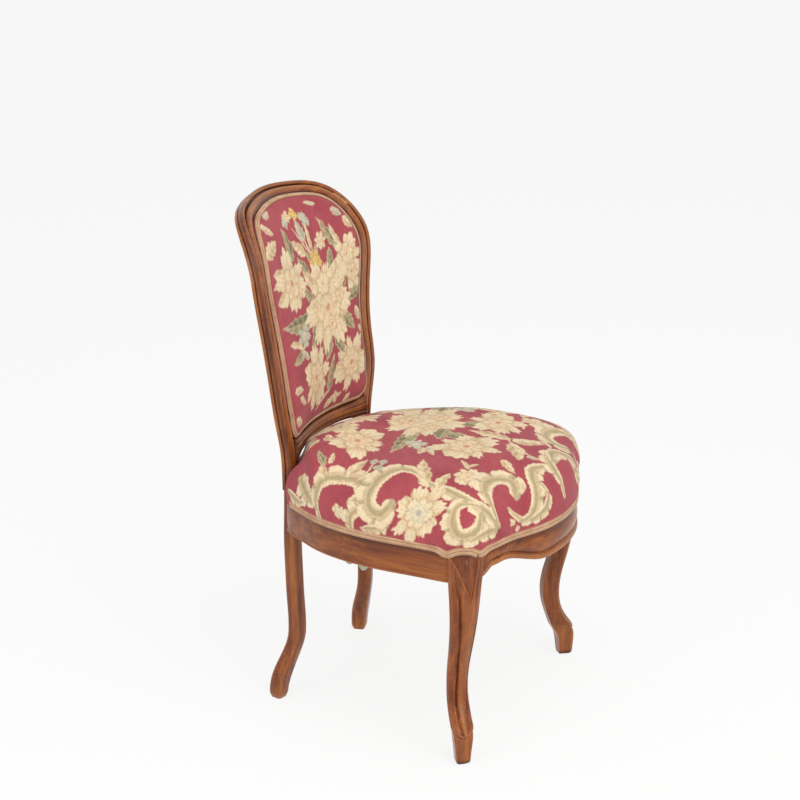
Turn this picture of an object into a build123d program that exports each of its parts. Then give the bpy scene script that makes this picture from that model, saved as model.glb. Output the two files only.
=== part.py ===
"""Louis Philippe side chair: moulded, bowed back on swept rear legs, cabriole front legs, sprung seat.

Millimetres, +Z up, the sitter faces -Y, the origin is on the floor under the middle of the chair's box.
"""

import os
from math import atan2, cos, degrees, hypot, pi, sin

from build123d import *

# Overall sizes
overall_height = 900.0
overall_depth = 602.0
seat_half_width = 240.0
front_foot_x = 235.0
front_foot_y = -210.0

# Seat frame
rail_bottom = 325.0
rail_top = 395.0
rail_thickness = 24.0
gimp_width = 14.0
gimp_thickness = 2.5
cover_thickness = 2.0
web_rebate = 10.0
hessian_thickness = 1.5
soft_gap = 0.3
apron_rise = 19.0

# Back frame: its front face is raked, bowed in plan and rolled back at the crest
back_half_width = 196.5
bow_sagitta = 49.0
rake_slope = 0.148
rake_start = 470.0
rake_blend = 30.0
roll_start = 780.0
roll_back = 42.0
post_half_width = 150.0
frame_depth = 24.0
bead_width = 8.0
groove_width = 3.0
ridge_width = 16.0
rebate_width = 7.0
bead_rise = 1.5
bead_drop = 2.0
groove_depth = 4.0
ridge_rise = 5.0
rebate_depth = 6.0
joint_along = 0.72
lower_rail_height = 469.0
lower_rail_width = 19.0
lower_rail_arch = 5.0
corner_flare = 14.0

# Legs
leg_width = 26.0
rear_splay = 23.0
rear_sweep = 24.0
sweep_height = 125.0
leg_corner = 6.0
post_lap = 12.0
post_margin = 5.0
knee_height = 300.0

# Upholstery
seat_crown = 484.0
cushion_bulge = 1.012
back_crown = 14.0
web_width = 50.0
web_thickness = 1.6
spring_wire = 3.4
spring_radius = 34.0
spring_turns = 4.0

# Fastenings
dowel_radius = 4.5
dowel_in_leg = 12.0
dowel_in_rail = 28.0
dowel_slack = 0.05
back_dowel_half = 16.0
screw_radius = 2.2
block_width = 104.0
tack_radius = 4.0

frame_width = bead_width + groove_width + ridge_width + rebate_width
crest_slope = rake_slope + 2 * roll_back / (overall_height - roll_start)
crest_y = overall_depth / 2 - frame_depth / (1 + crest_slope**2) ** 0.5
bow_rate = bow_sagitta / back_half_width**2
roll_rate = roll_back / (overall_height - roll_start) ** 2


def back_y(x, z):
    """Y of the back frame's front face at (x, z): upright at the seat, raked above, rolled at the crest."""
    above = z - rake_start
    rake = rake_slope * ((above + hypot(above, rake_blend)) / 2 - (overall_height - rake_start))
    roll = roll_rate * max(z - roll_start, 0) ** 2 - roll_back
    return crest_y + rake + roll - bow_rate * x**2


def back_lean(z):
    """How fast the front face goes back as it rises, at height z."""
    above = z - rake_start
    return rake_slope * (1 + above / hypot(above, rake_blend)) / 2 + 2 * roll_rate * max(z - roll_start, 0)


def back_normal(x, z):
    """Direction that the back frame's front face looks in at (x, z)."""
    return Vector(-2 * bow_rate * x, -1, back_lean(z)).normalized()


post_y = back_y(post_half_width, rail_top) + leg_width / 2
post_x = post_half_width - leg_width / 2
post_turn = degrees(atan2(2 * bow_rate * post_half_width, 1))
rear_foot_x = post_x + rear_splay
rear_foot_y = post_y + rear_sweep
seat_rear = post_y + leg_width / 2
cover_out = 2 * soft_gap + cover_thickness
gimp_out = cover_out + soft_gap + gimp_thickness
front_share = (cushion_bulge - 1 + cover_out / seat_half_width) / 2
seat_front = (front_share * seat_rear - overall_depth / 2) / (1 + front_share)
seat_middle = (seat_front + seat_rear) / 2

# Outline of the back's outer edge, seen from the front, from the seat up to the middle of the crest
with BuildLine() as back_outline:
    Spline(
        (post_half_width, 0, rail_top + 5),
        (post_half_width + 4, 0, lower_rail_height),
        (back_half_width - 25, 0, lower_rail_height + 71),
        (back_half_width - 22, 0, lower_rail_height + 136),
        (back_half_width - 10, 0, overall_height - 198),
        (back_half_width, 0, overall_height - 131),
        (back_half_width - 10, 0, overall_height - 81),
        (back_half_width - 46, 0, overall_height - 27),
        (back_half_width - 120, 0, overall_height - 5),
        (0, 0, overall_height),
        tangents=[(0, 0, 1), (-1, 0, 0)],
    )
outline = back_outline.edges()[0]


def frame_plane(along, side=1):
    """Plane across the back frame: x inwards from the outer edge, y out of the front face."""
    spot = outline @ along
    run = outline % along
    normal = back_normal(spot.X, spot.Z)
    rise = back_lean(spot.Z) * run.Z - 2 * bow_rate * spot.X * run.X
    tangent = Vector(run.X, rise, run.Z).normalized()
    inward = normal.cross(tangent)
    if side < 0:
        inward = Vector(-inward.X, inward.Y, inward.Z)
        tangent = Vector(tangent.X, -tangent.Y, -tangent.Z)
    origin = (side * spot.X, back_y(spot.X, spot.Z), spot.Z)
    return Plane(origin=origin, x_dir=inward, z_dir=tangent)


def moulded_frame(planes, grow=0.0):
    """A length of the back's moulding: bead, groove, broad ridge and the rebate for the cloth.

    Its inner side is bigger by grow.
    """
    groove_at = bead_width + groove_width
    ridge_end = groove_at + ridge_width + grow
    inner_edge = frame_width + grow
    rebate_floor = grow - rebate_depth
    with BuildPart() as length:
        for plane in planes:
            with BuildSketch(plane):
                with BuildLine():
                    Line((0, -frame_depth), (0, -bead_drop))
                    ThreePointArc((0, -bead_drop), (bead_width / 2, bead_rise), (bead_width, -bead_drop))
                    Line((bead_width, -bead_drop), (bead_width, -groove_depth))
                    Line((bead_width, -groove_depth), (groove_at, -groove_depth))
                    Line((groove_at, -groove_depth), (groove_at, 0))
                    ThreePointArc(
                        (groove_at, 0), (groove_at + ridge_width * 0.55, ridge_rise), (ridge_end, 0)
                    )
                    Line((ridge_end, 0), (ridge_end, rebate_floor))
                    Line((ridge_end, rebate_floor), (inner_edge, rebate_floor))
                    Line((inner_edge, rebate_floor), (inner_edge, -frame_depth))
                    Line((inner_edge, -frame_depth), (0, -frame_depth))
                make_face()
        loft()
    return length.part


def rear_leg_centre(z):
    """Middle of the right rear leg at height z: straight, then swept out and back to the foot."""
    ease = 0.5 * (1 + cos(pi * min(z, sweep_height) / sweep_height))
    return post_x + rear_splay * ease, post_y + rear_sweep * ease


def seat_ring(spread=1.0):
    """Points of the seat's plan outline, scaled about its middle by spread."""
    half = [
        (0, seat_front),
        (84, seat_front + 15),
        (150, seat_front + 45),
        (206, seat_front + 63),
        (seat_half_width - 8, seat_front + 91),
        (seat_half_width - 1, seat_front + 150),
        (seat_half_width, seat_front + 240),
        (seat_half_width - 9, seat_front + 316),
        (seat_half_width - 29, seat_front + 376),
        (post_half_width + 34, seat_rear - 48),
        (post_half_width + 2, seat_rear - 8),
        (post_half_width - 40, seat_rear),
    ]
    right = [(x * spread, seat_middle + (y - seat_middle) * spread) for x, y in half]
    rear = [(0, seat_middle + (seat_rear - seat_middle) * spread)]
    return right + rear + [(-x, y) for x, y in reversed(right[1:])]


def seat_slab(bottom, top, inset=0.0):
    """The seat's plan outline drawn in by inset and raised from bottom to top."""
    with BuildPart() as slab:
        with BuildSketch(Plane.XY.offset(bottom)):
            with BuildLine():
                Spline(*seat_ring(1 - inset / seat_half_width), periodic=True)
            make_face()
        extrude(amount=top - bottom)
    return slab.part


def block_between(low, high):
    """A box between two opposite corners."""
    middle = [(a + b) / 2 for a, b in zip(low, high)]
    sides = [b - a for a, b in zip(low, high)]
    return Pos(*middle) * Box(*sides, mode=Mode.PRIVATE)


leg_inner_x = front_foot_x - 45
leg_inner_y = front_foot_y + 53.5
front_rail_middle = seat_front + 59 + rail_thickness / 2
side_rail_middle = seat_half_width - 1 - rail_thickness / 2
web_top = rail_bottom + apron_rise + 8
block_low = web_top + 1
block_high = rail_top - 5
far = 2 * overall_depth

rail_ring = seat_slab(rail_bottom, rail_top) - seat_slab(rail_bottom - 1, rail_top + 1, rail_thickness)
rail_ring -= seat_slab(rail_bottom - 1, web_top, web_rebate)
corner_room = seat_slab(block_low, block_high, rail_thickness)
leg_corner_box = block_between((leg_inner_x, -far, 0), (far, leg_inner_y, overall_height))
apron_corner = block_between((0, -far, 0), (leg_inner_x + 22, front_foot_y + 25, rail_bottom + apron_rise))

# Dowels of the seat frame on the right side, each placed at its joint and pointing into the leg or post
dowel_heights = (web_top + 10, rail_top - 12)
dowel_spots = []
for height in dowel_heights:
    dowel_spots.append(Plane((leg_inner_x, front_rail_middle, height), z_dir=(1, 0, 0)))
    dowel_spots.append(Plane((side_rail_middle, leg_inner_y, height), z_dir=(0, -1, 0)))
    dowel_spots.append(Plane((post_half_width - 4, post_y - leg_width / 2, height), z_dir=(0, 1, 0)))
    dowel_spots.append(Plane((post_x - leg_width / 2, post_y, height), z_dir=(1, 0, 0)))

# Screws of the corner blocks on the right side, along each corner's diagonal
screw_height = (block_low + block_high) / 2
diagonal = 0.5**0.5
front_brace = (leg_inner_x - leg_inner_y) * diagonal - 38
rear_brace = (post_x + post_y - leg_width) * diagonal - 34
front_screw_y = (leg_inner_x + leg_inner_y) / 2
rear_screw_x = (post_x - post_y) / 2
screw_spots = [
    Plane(
        (front_brace * diagonal + front_screw_y, front_screw_y - front_brace * diagonal, screw_height),
        z_dir=(1, -1, 0),
    ),
    Plane(
        (rear_brace * diagonal + rear_screw_x, rear_brace * diagonal - rear_screw_x, screw_height),
        z_dir=(1, 1, 0),
    ),
]


def rods(planes, radius, low, high):
    """Round rods along each plane's axis, from low to high."""
    with BuildPart() as group:
        for plane in planes:
            with BuildSketch(plane.offset(low)):
                Circle(radius)
            extrude(amount=high - low)
    return group.part


dowel_holes = rods(dowel_spots, dowel_radius + dowel_slack, -dowel_in_rail - 1, dowel_in_leg + 1)
screw_holes = rods(screw_spots, screw_radius + dowel_slack, -1, 62)
left_screw_spots = [
    Plane((-spot.origin.X, spot.origin.Y, spot.origin.Z), z_dir=(-spot.z_dir.X, spot.z_dir.Y, 0))
    for spot in screw_spots
]
left_screw_holes = rods(left_screw_spots, screw_radius + dowel_slack, -1, 62)

# Back posts: moulded stile above the seat, rounded square leg below
stile_planes = [frame_plane(joint_along * i / 16) for i in range(17)]
crest_joint = stile_planes[-1]
crest_dowel_spots = [
    Plane(crest_joint.from_local_coords((across, -frame_depth / 2, 0)), z_dir=crest_joint.z_dir)
    for across in (9.0, 24.0)
]
lower_dowel_spot = Plane(
    (post_x - 8, back_y(post_x, lower_rail_height) + frame_depth / 2, lower_rail_height), z_dir=(1, 0, 0)
)
hole_radius = dowel_radius + dowel_slack
hole_half = back_dowel_half + 1
crest_dowel_holes = rods(crest_dowel_spots, hole_radius, -hole_half, hole_half)
lower_dowel_holes = rods([lower_dowel_spot], hole_radius, -hole_half, hole_half)

with BuildPart() as right_back_post:
    for i in range(13):
        z = (rail_top + post_lap) * (i / 12) ** 1.4
        with BuildSketch(Plane(origin=(*rear_leg_centre(z), z))):
            RectangleRounded(leg_width, leg_width, leg_corner, rotation=post_turn)
    loft()
    add(moulded_frame(stile_planes))
    add(dowel_holes, mode=Mode.SUBTRACT)
    add(screw_holes, mode=Mode.SUBTRACT)
    add(crest_dowel_holes, mode=Mode.SUBTRACT)
    add(lower_dowel_holes, mode=Mode.SUBTRACT)

with BuildPart() as left_back_post:
    add(right_back_post.part)
    mirror(about=Plane.YZ, mode=Mode.REPLACE)

# Crest rail, moulded right across between the two joints
crest_along = [joint_along + (1 - joint_along) * i / 10 for i in range(11)]
crest_planes = [frame_plane(along) for along in crest_along]
crest_planes += [frame_plane(along, -1) for along in reversed(crest_along[:-1])]
with BuildPart() as crest_rail:
    add(moulded_frame(crest_planes))
    add(crest_dowel_holes, mode=Mode.SUBTRACT)
    add(mirror(crest_dowel_holes, about=Plane.YZ, mode=Mode.PRIVATE), mode=Mode.SUBTRACT)


# Lower back rail: arched, flared into the posts, rounded on its front
def lower_rail(grow=0.0):
    """The rail under the back's padding, running into the posts; wider by grow on both edges."""
    with BuildPart() as length:
        for i in range(-6, 7):
            share = i / 6
            x = (post_half_width - frame_width / 2) * share
            flare = lower_rail_width / 2 + corner_flare * share**6 + grow
            z = lower_rail_height + lower_rail_arch * (1 - share**2)
            plane = Plane(origin=(x, back_y(x, z), z), x_dir=(0, back_lean(z), 1), z_dir=(1, 0, 0))
            with BuildSketch(plane):
                with BuildLine():
                    Line((-flare, 0), (-flare, -frame_depth))
                    Line((-flare, -frame_depth), (flare, -frame_depth))
                    Line((flare, -frame_depth), (flare, 0))
                    ThreePointArc((flare, 0), (0, ridge_rise), (-flare, 0))
                make_face()
        loft()
    return length.part


with BuildPart() as lower_back_rail:
    add(lower_rail())
    add(right_back_post.part, mode=Mode.SUBTRACT)
    add(left_back_post.part, mode=Mode.SUBTRACT)
    add(lower_dowel_holes, mode=Mode.SUBTRACT)
    add(mirror(lower_dowel_holes, about=Plane.YZ, mode=Mode.PRIVATE), mode=Mode.SUBTRACT)

# Front legs: height, middle out along the diagonal, thickness, width and channel depth
foot_height = 0.127 * knee_height
leg_stations = (
    (foot_height, -4.0, 38.0, 37.0, 0.6),
    (0.18 * knee_height, -9.0, 40.0, 38.0, 1.6),
    (0.25 * knee_height, -19.0, 35.0, 39.0, 2.6),
    (0.34 * knee_height, -31.0, 32.0, 38.0, 3.0),
    (0.44 * knee_height, -36.0, 33.5, 37.0, 3.0),
    (0.54 * knee_height, -35.0, 36.0, 39.0, 3.0),
    (0.68 * knee_height, -27.0, 40.0, 44.0, 3.0),
    (0.84 * knee_height, -19.0, 44.0, 50.0, 2.4),
    (knee_height, -16.0, 45.0, 56.0, 1.6),
    (rail_top - 48, -24.0, 44.0, 58.0, 0.8),
    (rail_top - gimp_width - 4, -34.0, 42.0, 56.0, 0.4),
)


def leg_plane(z, out):
    """Level plane on the right front leg: x outwards along the corner's diagonal."""
    origin = (front_foot_x + out * diagonal, front_foot_y - out * diagonal, z)
    return Plane(origin=origin, x_dir=(1, -1, 0), z_dir=(0, 0, 1))


with BuildPart() as right_front_leg:
    for z, out, thick, wide, channel in leg_stations:
        face = thick / 2
        inner = 0.22 * wide
        with BuildSketch(leg_plane(z, out)):
            with BuildLine():
                Line((face, wide / 2), (face, 0.44 * wide))
                ThreePointArc((face, 0.44 * wide), (face - channel, 0.27 * wide), (face, 0.1 * wide))
                ThreePointArc((face, 0.1 * wide), (face + channel / 2, 0), (face, -0.1 * wide))
                ThreePointArc((face, -0.1 * wide), (face - channel, -0.27 * wide), (face, -0.44 * wide))
                Line((face, -0.44 * wide), (face, -wide / 2))
                ThreePointArc((face, -wide / 2), (-0.1 * thick, -0.42 * wide), (-face, -inner))
                Line((-face, -inner), (-face, inner))
                ThreePointArc((-face, inner), (-0.1 * thick, 0.42 * wide), (face, wide / 2))
            make_face()
    loft()
    for z, side in ((0, 28.0), (foot_height, 31.0)):
        with BuildSketch(leg_plane(z, -3.0 * z / foot_height)):
            RectangleRounded(side, side, leg_corner)
    loft()
    add((seat_slab(rail_bottom, rail_top) & leg_corner_box) - apron_corner)
    add(dowel_holes, mode=Mode.SUBTRACT)
    add(screw_holes, mode=Mode.SUBTRACT)

with BuildPart() as left_front_leg:
    add(right_front_leg.part)
    mirror(about=Plane.YZ, mode=Mode.REPLACE)

# Seat rails, cut from one ring
with BuildPart() as post_slot_block:
    with BuildSketch(Plane((post_x, post_y, 0))):
        Rectangle(leg_width, leg_width, rotation=post_turn)
    extrude(amount=overall_height)
    with BuildSketch(Plane((post_x - leg_width, post_y, 0))):
        Rectangle(2 * leg_width, leg_width, rotation=post_turn)
    extrude(amount=overall_height)
post_slot = post_slot_block.part
left_dowel_holes = mirror(dowel_holes, about=Plane.YZ, mode=Mode.PRIVATE)
apron_end = 0.8 * leg_inner_x
with BuildPart() as front_seat_rail:
    add(rail_ring)
    add(block_between((-leg_inner_x, -far, 0), (leg_inner_x, leg_inner_y, far)), mode=Mode.INTERSECT)
    for side in (-1, 1):
        with BuildSketch(Plane.XZ.offset(far)):
            with BuildLine():
                Line((side * 0.38 * leg_inner_x, rail_bottom), (side * far, rail_bottom))
                Line((side * far, rail_bottom), (side * far, rail_bottom + apron_rise))
                Line((side * far, rail_bottom + apron_rise), (side * apron_end, rail_bottom + apron_rise))
                Spline(
                    (side * apron_end, rail_bottom + apron_rise),
                    (side * 0.38 * leg_inner_x, rail_bottom),
                    tangents=[(-side, 0), (-side, 0)],
                )
            make_face()
        extrude(amount=-2 * far, mode=Mode.SUBTRACT)
    add(dowel_holes, mode=Mode.SUBTRACT)
    add(left_dowel_holes, mode=Mode.SUBTRACT)

with BuildPart() as right_seat_rail:
    add(rail_ring)
    add(block_between((post_x, leg_inner_y, 0), (far, post_y - 2, far)), mode=Mode.INTERSECT)
    add(post_slot, mode=Mode.SUBTRACT)
    add(right_back_post.part, mode=Mode.SUBTRACT)
    add(dowel_holes, mode=Mode.SUBTRACT)

with BuildPart() as left_seat_rail:
    add(right_seat_rail.part)
    mirror(about=Plane.YZ, mode=Mode.REPLACE)

with BuildPart() as rear_seat_rail:
    add(rail_ring)
    add(block_between((-post_x, 0, 0), (post_x, far, far)), mode=Mode.INTERSECT)
    add(right_back_post.part, mode=Mode.SUBTRACT)
    add(left_back_post.part, mode=Mode.SUBTRACT)
    add(dowel_holes, mode=Mode.SUBTRACT)
    add(left_dowel_holes, mode=Mode.SUBTRACT)
    add(screw_holes, mode=Mode.SUBTRACT)
    add(left_screw_holes, mode=Mode.SUBTRACT)


# Corner blocks, glued behind the front legs and before the posts
def corner_block(spot):
    """Brace in one corner of the seat frame, past its screw's head and along its screw's line."""
    turn = Plane(origin=(spot.origin.X, spot.origin.Y, 0), x_dir=spot.z_dir)
    with BuildPart() as brace:
        add(corner_room)
        with BuildSketch(turn):
            with Locations((block_width / 2, 0)):
                Rectangle(block_width, block_width)
        extrude(amount=overall_height, mode=Mode.INTERSECT)
    return brace.part


with BuildPart() as right_front_corner_block:
    add(corner_block(screw_spots[0]))
    add(leg_corner_box, mode=Mode.SUBTRACT)
    add(right_front_leg.part, mode=Mode.SUBTRACT)
    add(screw_holes, mode=Mode.SUBTRACT)

with BuildPart() as left_front_corner_block:
    add(corner_block(left_screw_spots[0]))
    add(mirror(leg_corner_box, about=Plane.YZ, mode=Mode.PRIVATE), mode=Mode.SUBTRACT)
    add(left_front_leg.part, mode=Mode.SUBTRACT)
    add(left_screw_holes, mode=Mode.SUBTRACT)

with BuildPart() as right_rear_corner_block:
    add(corner_block(screw_spots[1]))
    add(right_back_post.part, mode=Mode.SUBTRACT)
    add(dowel_holes, mode=Mode.SUBTRACT)
    add(screw_holes, mode=Mode.SUBTRACT)

with BuildPart() as left_rear_corner_block:
    add(corner_block(left_screw_spots[1]))
    add(left_back_post.part, mode=Mode.SUBTRACT)
    add(left_dowel_holes, mode=Mode.SUBTRACT)
    add(left_screw_holes, mode=Mode.SUBTRACT)

# Fastenings, one node for each kind
with BuildPart() as seat_dowels:
    add(rods(dowel_spots, dowel_radius, -dowel_in_rail, dowel_in_leg))
    mirror(about=Plane.YZ)

with BuildPart() as back_dowels:
    add(rods([*crest_dowel_spots, lower_dowel_spot], dowel_radius, -back_dowel_half, back_dowel_half))
    mirror(about=Plane.YZ)

with BuildPart() as corner_block_screws:
    add(rods(screw_spots, screw_radius, -1, 60))
    add(rods(screw_spots, 2 * screw_radius, -2.5, -soft_gap))
    mirror(about=Plane.YZ)

# Seat upholstery, from the webbing up
post_foot = frame_plane(0)
with BuildPart() as post_room_block:
    with BuildSketch(Plane((post_foot.origin.X, post_foot.origin.Y, 0), post_foot.x_dir, (0, 0, 1))):
        with Locations((frame_width / 2, (ridge_rise - frame_depth) / 2)):
            Rectangle(frame_width + 2 * post_margin, frame_depth + ridge_rise + 2 * post_margin)
    extrude(amount=overall_height)
    mirror(about=Plane.YZ)
post_room = post_room_block.part
leg_room = block_between((leg_inner_x - 1, -far, 0), (far, leg_inner_y + 1, overall_height))
corner_posts = post_room + leg_room + mirror(leg_room, about=Plane.YZ)
web_low = web_top - 2 * web_thickness
web_middle = web_low + web_thickness
web_room = web_rebate + 1.0
with BuildPart() as seat_webbing:
    for shift in (-100, 0, 100):
        left = shift - web_width / 2
        front = seat_middle + shift - web_width / 2
        add(block_between((left, -far, web_low), (left + web_width, far, web_middle)))
        add(block_between((-far, front, web_middle), (far, front + web_width, web_top)))
    add(seat_slab(web_low, web_top, web_room), mode=Mode.INTERSECT)
    add(corner_posts, mode=Mode.SUBTRACT)

hessian_low = rail_top + 4
spring_foot = web_top + spring_wire / 2 + soft_gap
spring_height = hessian_low - spring_wire - 2 * soft_gap - web_top
with BuildPart() as coil:
    with BuildLine() as coil_path:
        Helix(pitch=spring_height / spring_turns, height=spring_height, radius=spring_radius)
    with BuildSketch(Plane(origin=coil_path.line @ 0, z_dir=coil_path.line % 0)):
        Circle(spring_wire / 2)
    sweep()

with BuildPart() as seat_springs:
    for x, y in ((-88, -88), (88, -88), (0, 0), (-85, 95), (85, 95)):
        add(Pos(x, seat_middle + y, spring_foot) * coil.part)

with BuildPart() as spring_hessian:
    add(seat_slab(hessian_low, hessian_low + hessian_thickness, rail_thickness / 2))
    add(post_room, mode=Mode.SUBTRACT)

# Height and share of the plan outline of the seat's domed cushion, from the hem up
cover_hem = rail_top - gimp_width
cushion_profile = (
    (rail_top + 17, cushion_bulge),
    (seat_crown - 36, 0.965),
    (seat_crown - 21, 0.85),
    (seat_crown - 11, 0.70),
    (seat_crown - 5, 0.53),
    (seat_crown - 1.5, 0.36),
    (seat_crown, 0.18),
)


def cushion(bottom, skin):
    """The seat's dome with its crown and drawn-in sides, smaller by skin than the finished cushion."""
    share = (cover_out - skin) / seat_half_width
    levels = [(z - skin, spread) for z, spread in cushion_profile if z - skin > bottom + 14]
    with BuildPart() as dome:
        for height, spread in [(bottom, 1.0), *levels]:
            with BuildSketch(Plane.XY.offset(height)):
                with BuildLine():
                    Spline(*seat_ring(spread + share), periodic=True)
                make_face()
        loft()
    return dome.part


stuffing_low = hessian_low + hessian_thickness + soft_gap
with BuildPart() as seat_stuffing:
    add(cushion(cover_hem - 1, cover_thickness + soft_gap))
    add(block_between((-far, -far, 0), (far, far, stuffing_low)), mode=Mode.SUBTRACT)
    add(post_room, mode=Mode.SUBTRACT)

with BuildPart() as seat_cover:
    add(cushion(cover_hem, 0))
    add(cushion(cover_hem - 1, cover_thickness), mode=Mode.SUBTRACT)
    add(seat_slab(rail_bottom, rail_top + soft_gap, -soft_gap), mode=Mode.SUBTRACT)
    add(post_room, mode=Mode.SUBTRACT)


def seat_band(bottom, top, inner, outer):
    """A band round the seat frame, from inner to outer millimetres proud of the rails."""
    with BuildPart() as band:
        add(seat_slab(bottom, top, -outer))
        add(seat_slab(bottom - 1, top + 1, -inner), mode=Mode.SUBTRACT)
    return band.part


with BuildPart() as seat_gimp:
    add(seat_band(cover_hem - 3, cover_hem + gimp_width - 3, cover_out + soft_gap, gimp_out))
    add(post_room, mode=Mode.SUBTRACT)

dust_low = web_low - 1.0 - soft_gap
with BuildPart() as dust_cover:
    add(seat_slab(dust_low, dust_low + 1.0, web_room))
    add(corner_posts, mode=Mode.SUBTRACT)
    with BuildSketch(Plane.XY.offset(dust_low - 1)):
        with Locations((-120, seat_middle)):
            Ellipse(38, 30)
    extrude(amount=3, mode=Mode.SUBTRACT)

tack_ring = [(x, y) for x, y in seat_ring(0.93) if y > leg_inner_y + 30 or abs(x) < leg_inner_x - 30]
tack_spots = [Plane((x, y, dust_low)) for x, y in tack_ring if y < post_y - 2 * leg_width or abs(x) < 90]
with BuildPart() as dust_cover_tacks:
    add(rods(tack_spots, tack_radius, -1.2, -soft_gap))


# Back upholstery: each layer is a sheet across the opening, bowed and rolled like the frame
panel_bottom = lower_rail_height + lower_rail_arch + lower_rail_width / 2 + 1.0
panel_along = (0.24, 0.32, 0.42, 0.52, 0.6, 0.67, 0.73, 0.79, 0.85, 0.9, 0.94, 0.97)
panel_corner = 34.0
cloth_inset = frame_width - rebate_width + 0.5
stuffing_inset = frame_width + 0.5
outer_front = frame_depth + 1.5
back_gimp_width = 10.0
gimp_inset = cloth_inset + back_gimp_width
gimp_low = panel_bottom + back_gimp_width
cloth_front = rebate_depth - soft_gap - cover_thickness
gimp_front = cloth_front - soft_gap - gimp_thickness


def back_sheet(inset, front, back, crown=0.0, low=panel_bottom, rear_swell=1):
    """A layer of the back from front to back behind the frame's face, inset from its outer edge.

    Each section lies square to the leaning face. The middle of its front swells by crown, and that of its
    back by rear_swell times as much.
    """
    edge = [frame_plane(along).from_local_coords((inset, 0, 0)) for along in panel_along]
    first = edge[0]
    shares = (0.0, 0.25, 0.6)
    levels = [(first.X - panel_corner * (1 - share) ** 2, low + (first.Z - low) * share) for share in shares]
    levels += [(spot.X, spot.Z) for spot in edge]
    rise = levels[-1][1] - low
    with BuildPart() as sheet:
        for x, z in levels:
            swell = crown * max(sin(pi * (z - low) / rise), 0) ** 0.6
            lean = back_lean(z)
            tilt = hypot(1, lean)
            sag = bow_rate * x**2 / tilt
            near = front * hypot(1, 2 * bow_rate * x / tilt)
            rear = back * hypot(1, 2 * bow_rate * x / tilt)
            with BuildSketch(Plane((0, back_y(x, z), z), (1, 0, 0), (0, lean, 1))):
                with BuildLine():
                    ThreePointArc((-x, near), (0, front + sag - swell), (x, near))
                    Line((x, near), (x, rear))
                    ThreePointArc((x, rear), (0, back + sag - rear_swell * swell), (-x, rear))
                    Line((-x, rear), (-x, near))
                make_face()
        loft()
    return sheet.part


with BuildPart() as padding_limit:
    add(moulded_frame(stile_planes, soft_gap))
    mirror(about=Plane.YZ)
    add(moulded_frame(crest_planes, soft_gap))
    add(lower_rail(soft_gap))

with BuildPart() as back_stuffing:
    add(back_sheet(stuffing_inset, rebate_depth + soft_gap, frame_depth - 6.0, back_crown, rear_swell=0))
    add(padding_limit.part, mode=Mode.SUBTRACT)

with BuildPart() as back_webbing:
    add(back_sheet(stuffing_inset, frame_depth - 5.5, frame_depth - 4.0))
    add(padding_limit.part, mode=Mode.SUBTRACT)

with BuildPart() as back_cover:
    add(back_sheet(cloth_inset, cloth_front, cloth_front + cover_thickness, back_crown))
    add(padding_limit.part, mode=Mode.SUBTRACT)

with BuildPart() as back_gimp:
    add(back_sheet(cloth_inset, gimp_front, gimp_front + gimp_thickness, back_crown))
    add(back_sheet(gimp_inset, -frame_depth, frame_depth, 0, gimp_low), mode=Mode.SUBTRACT)
    add(padding_limit.part, mode=Mode.SUBTRACT)

with BuildPart() as outer_back_cover:
    add(back_sheet(24.0, outer_front, outer_front + cover_thickness, 0, lower_rail_height - 2))

# One STEP file for each piece
finished = {
    "crest_rail": crest_rail,
    "left_back_post": left_back_post,
    "right_back_post": right_back_post,
    "lower_back_rail": lower_back_rail,
    "left_front_leg": left_front_leg,
    "right_front_leg": right_front_leg,
    "front_seat_rail": front_seat_rail,
    "left_seat_rail": left_seat_rail,
    "right_seat_rail": right_seat_rail,
    "rear_seat_rail": rear_seat_rail,
    "left_front_corner_block": left_front_corner_block,
    "right_front_corner_block": right_front_corner_block,
    "left_rear_corner_block": left_rear_corner_block,
    "right_rear_corner_block": right_rear_corner_block,
    "seat_dowels": seat_dowels,
    "back_dowels": back_dowels,
    "corner_block_screws": corner_block_screws,
    "seat_webbing": seat_webbing,
    "seat_springs": seat_springs,
    "spring_hessian": spring_hessian,
    "seat_stuffing": seat_stuffing,
    "seat_cover": seat_cover,
    "seat_gimp": seat_gimp,
    "dust_cover": dust_cover,
    "dust_cover_tacks": dust_cover_tacks,
    "back_webbing": back_webbing,
    "back_stuffing": back_stuffing,
    "back_cover": back_cover,
    "back_gimp": back_gimp,
    "outer_back_cover": outer_back_cover,
}
os.makedirs("parts", exist_ok=True)
for name, piece in finished.items():
    piece.part.label = name
    export_step(piece.part, f"parts/{name}.step")
print(f"{len(finished)} pieces; spring gap {spring_height / spring_turns - spring_wire:.1f} mm")
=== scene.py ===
"""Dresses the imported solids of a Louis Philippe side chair: moulded wood, tapestry, braid and dust cloth."""

from __future__ import annotations

import logging
import math
from collections.abc import Iterator
from contextlib import contextmanager
from dataclasses import dataclass, field, replace
from enum import Enum

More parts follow.
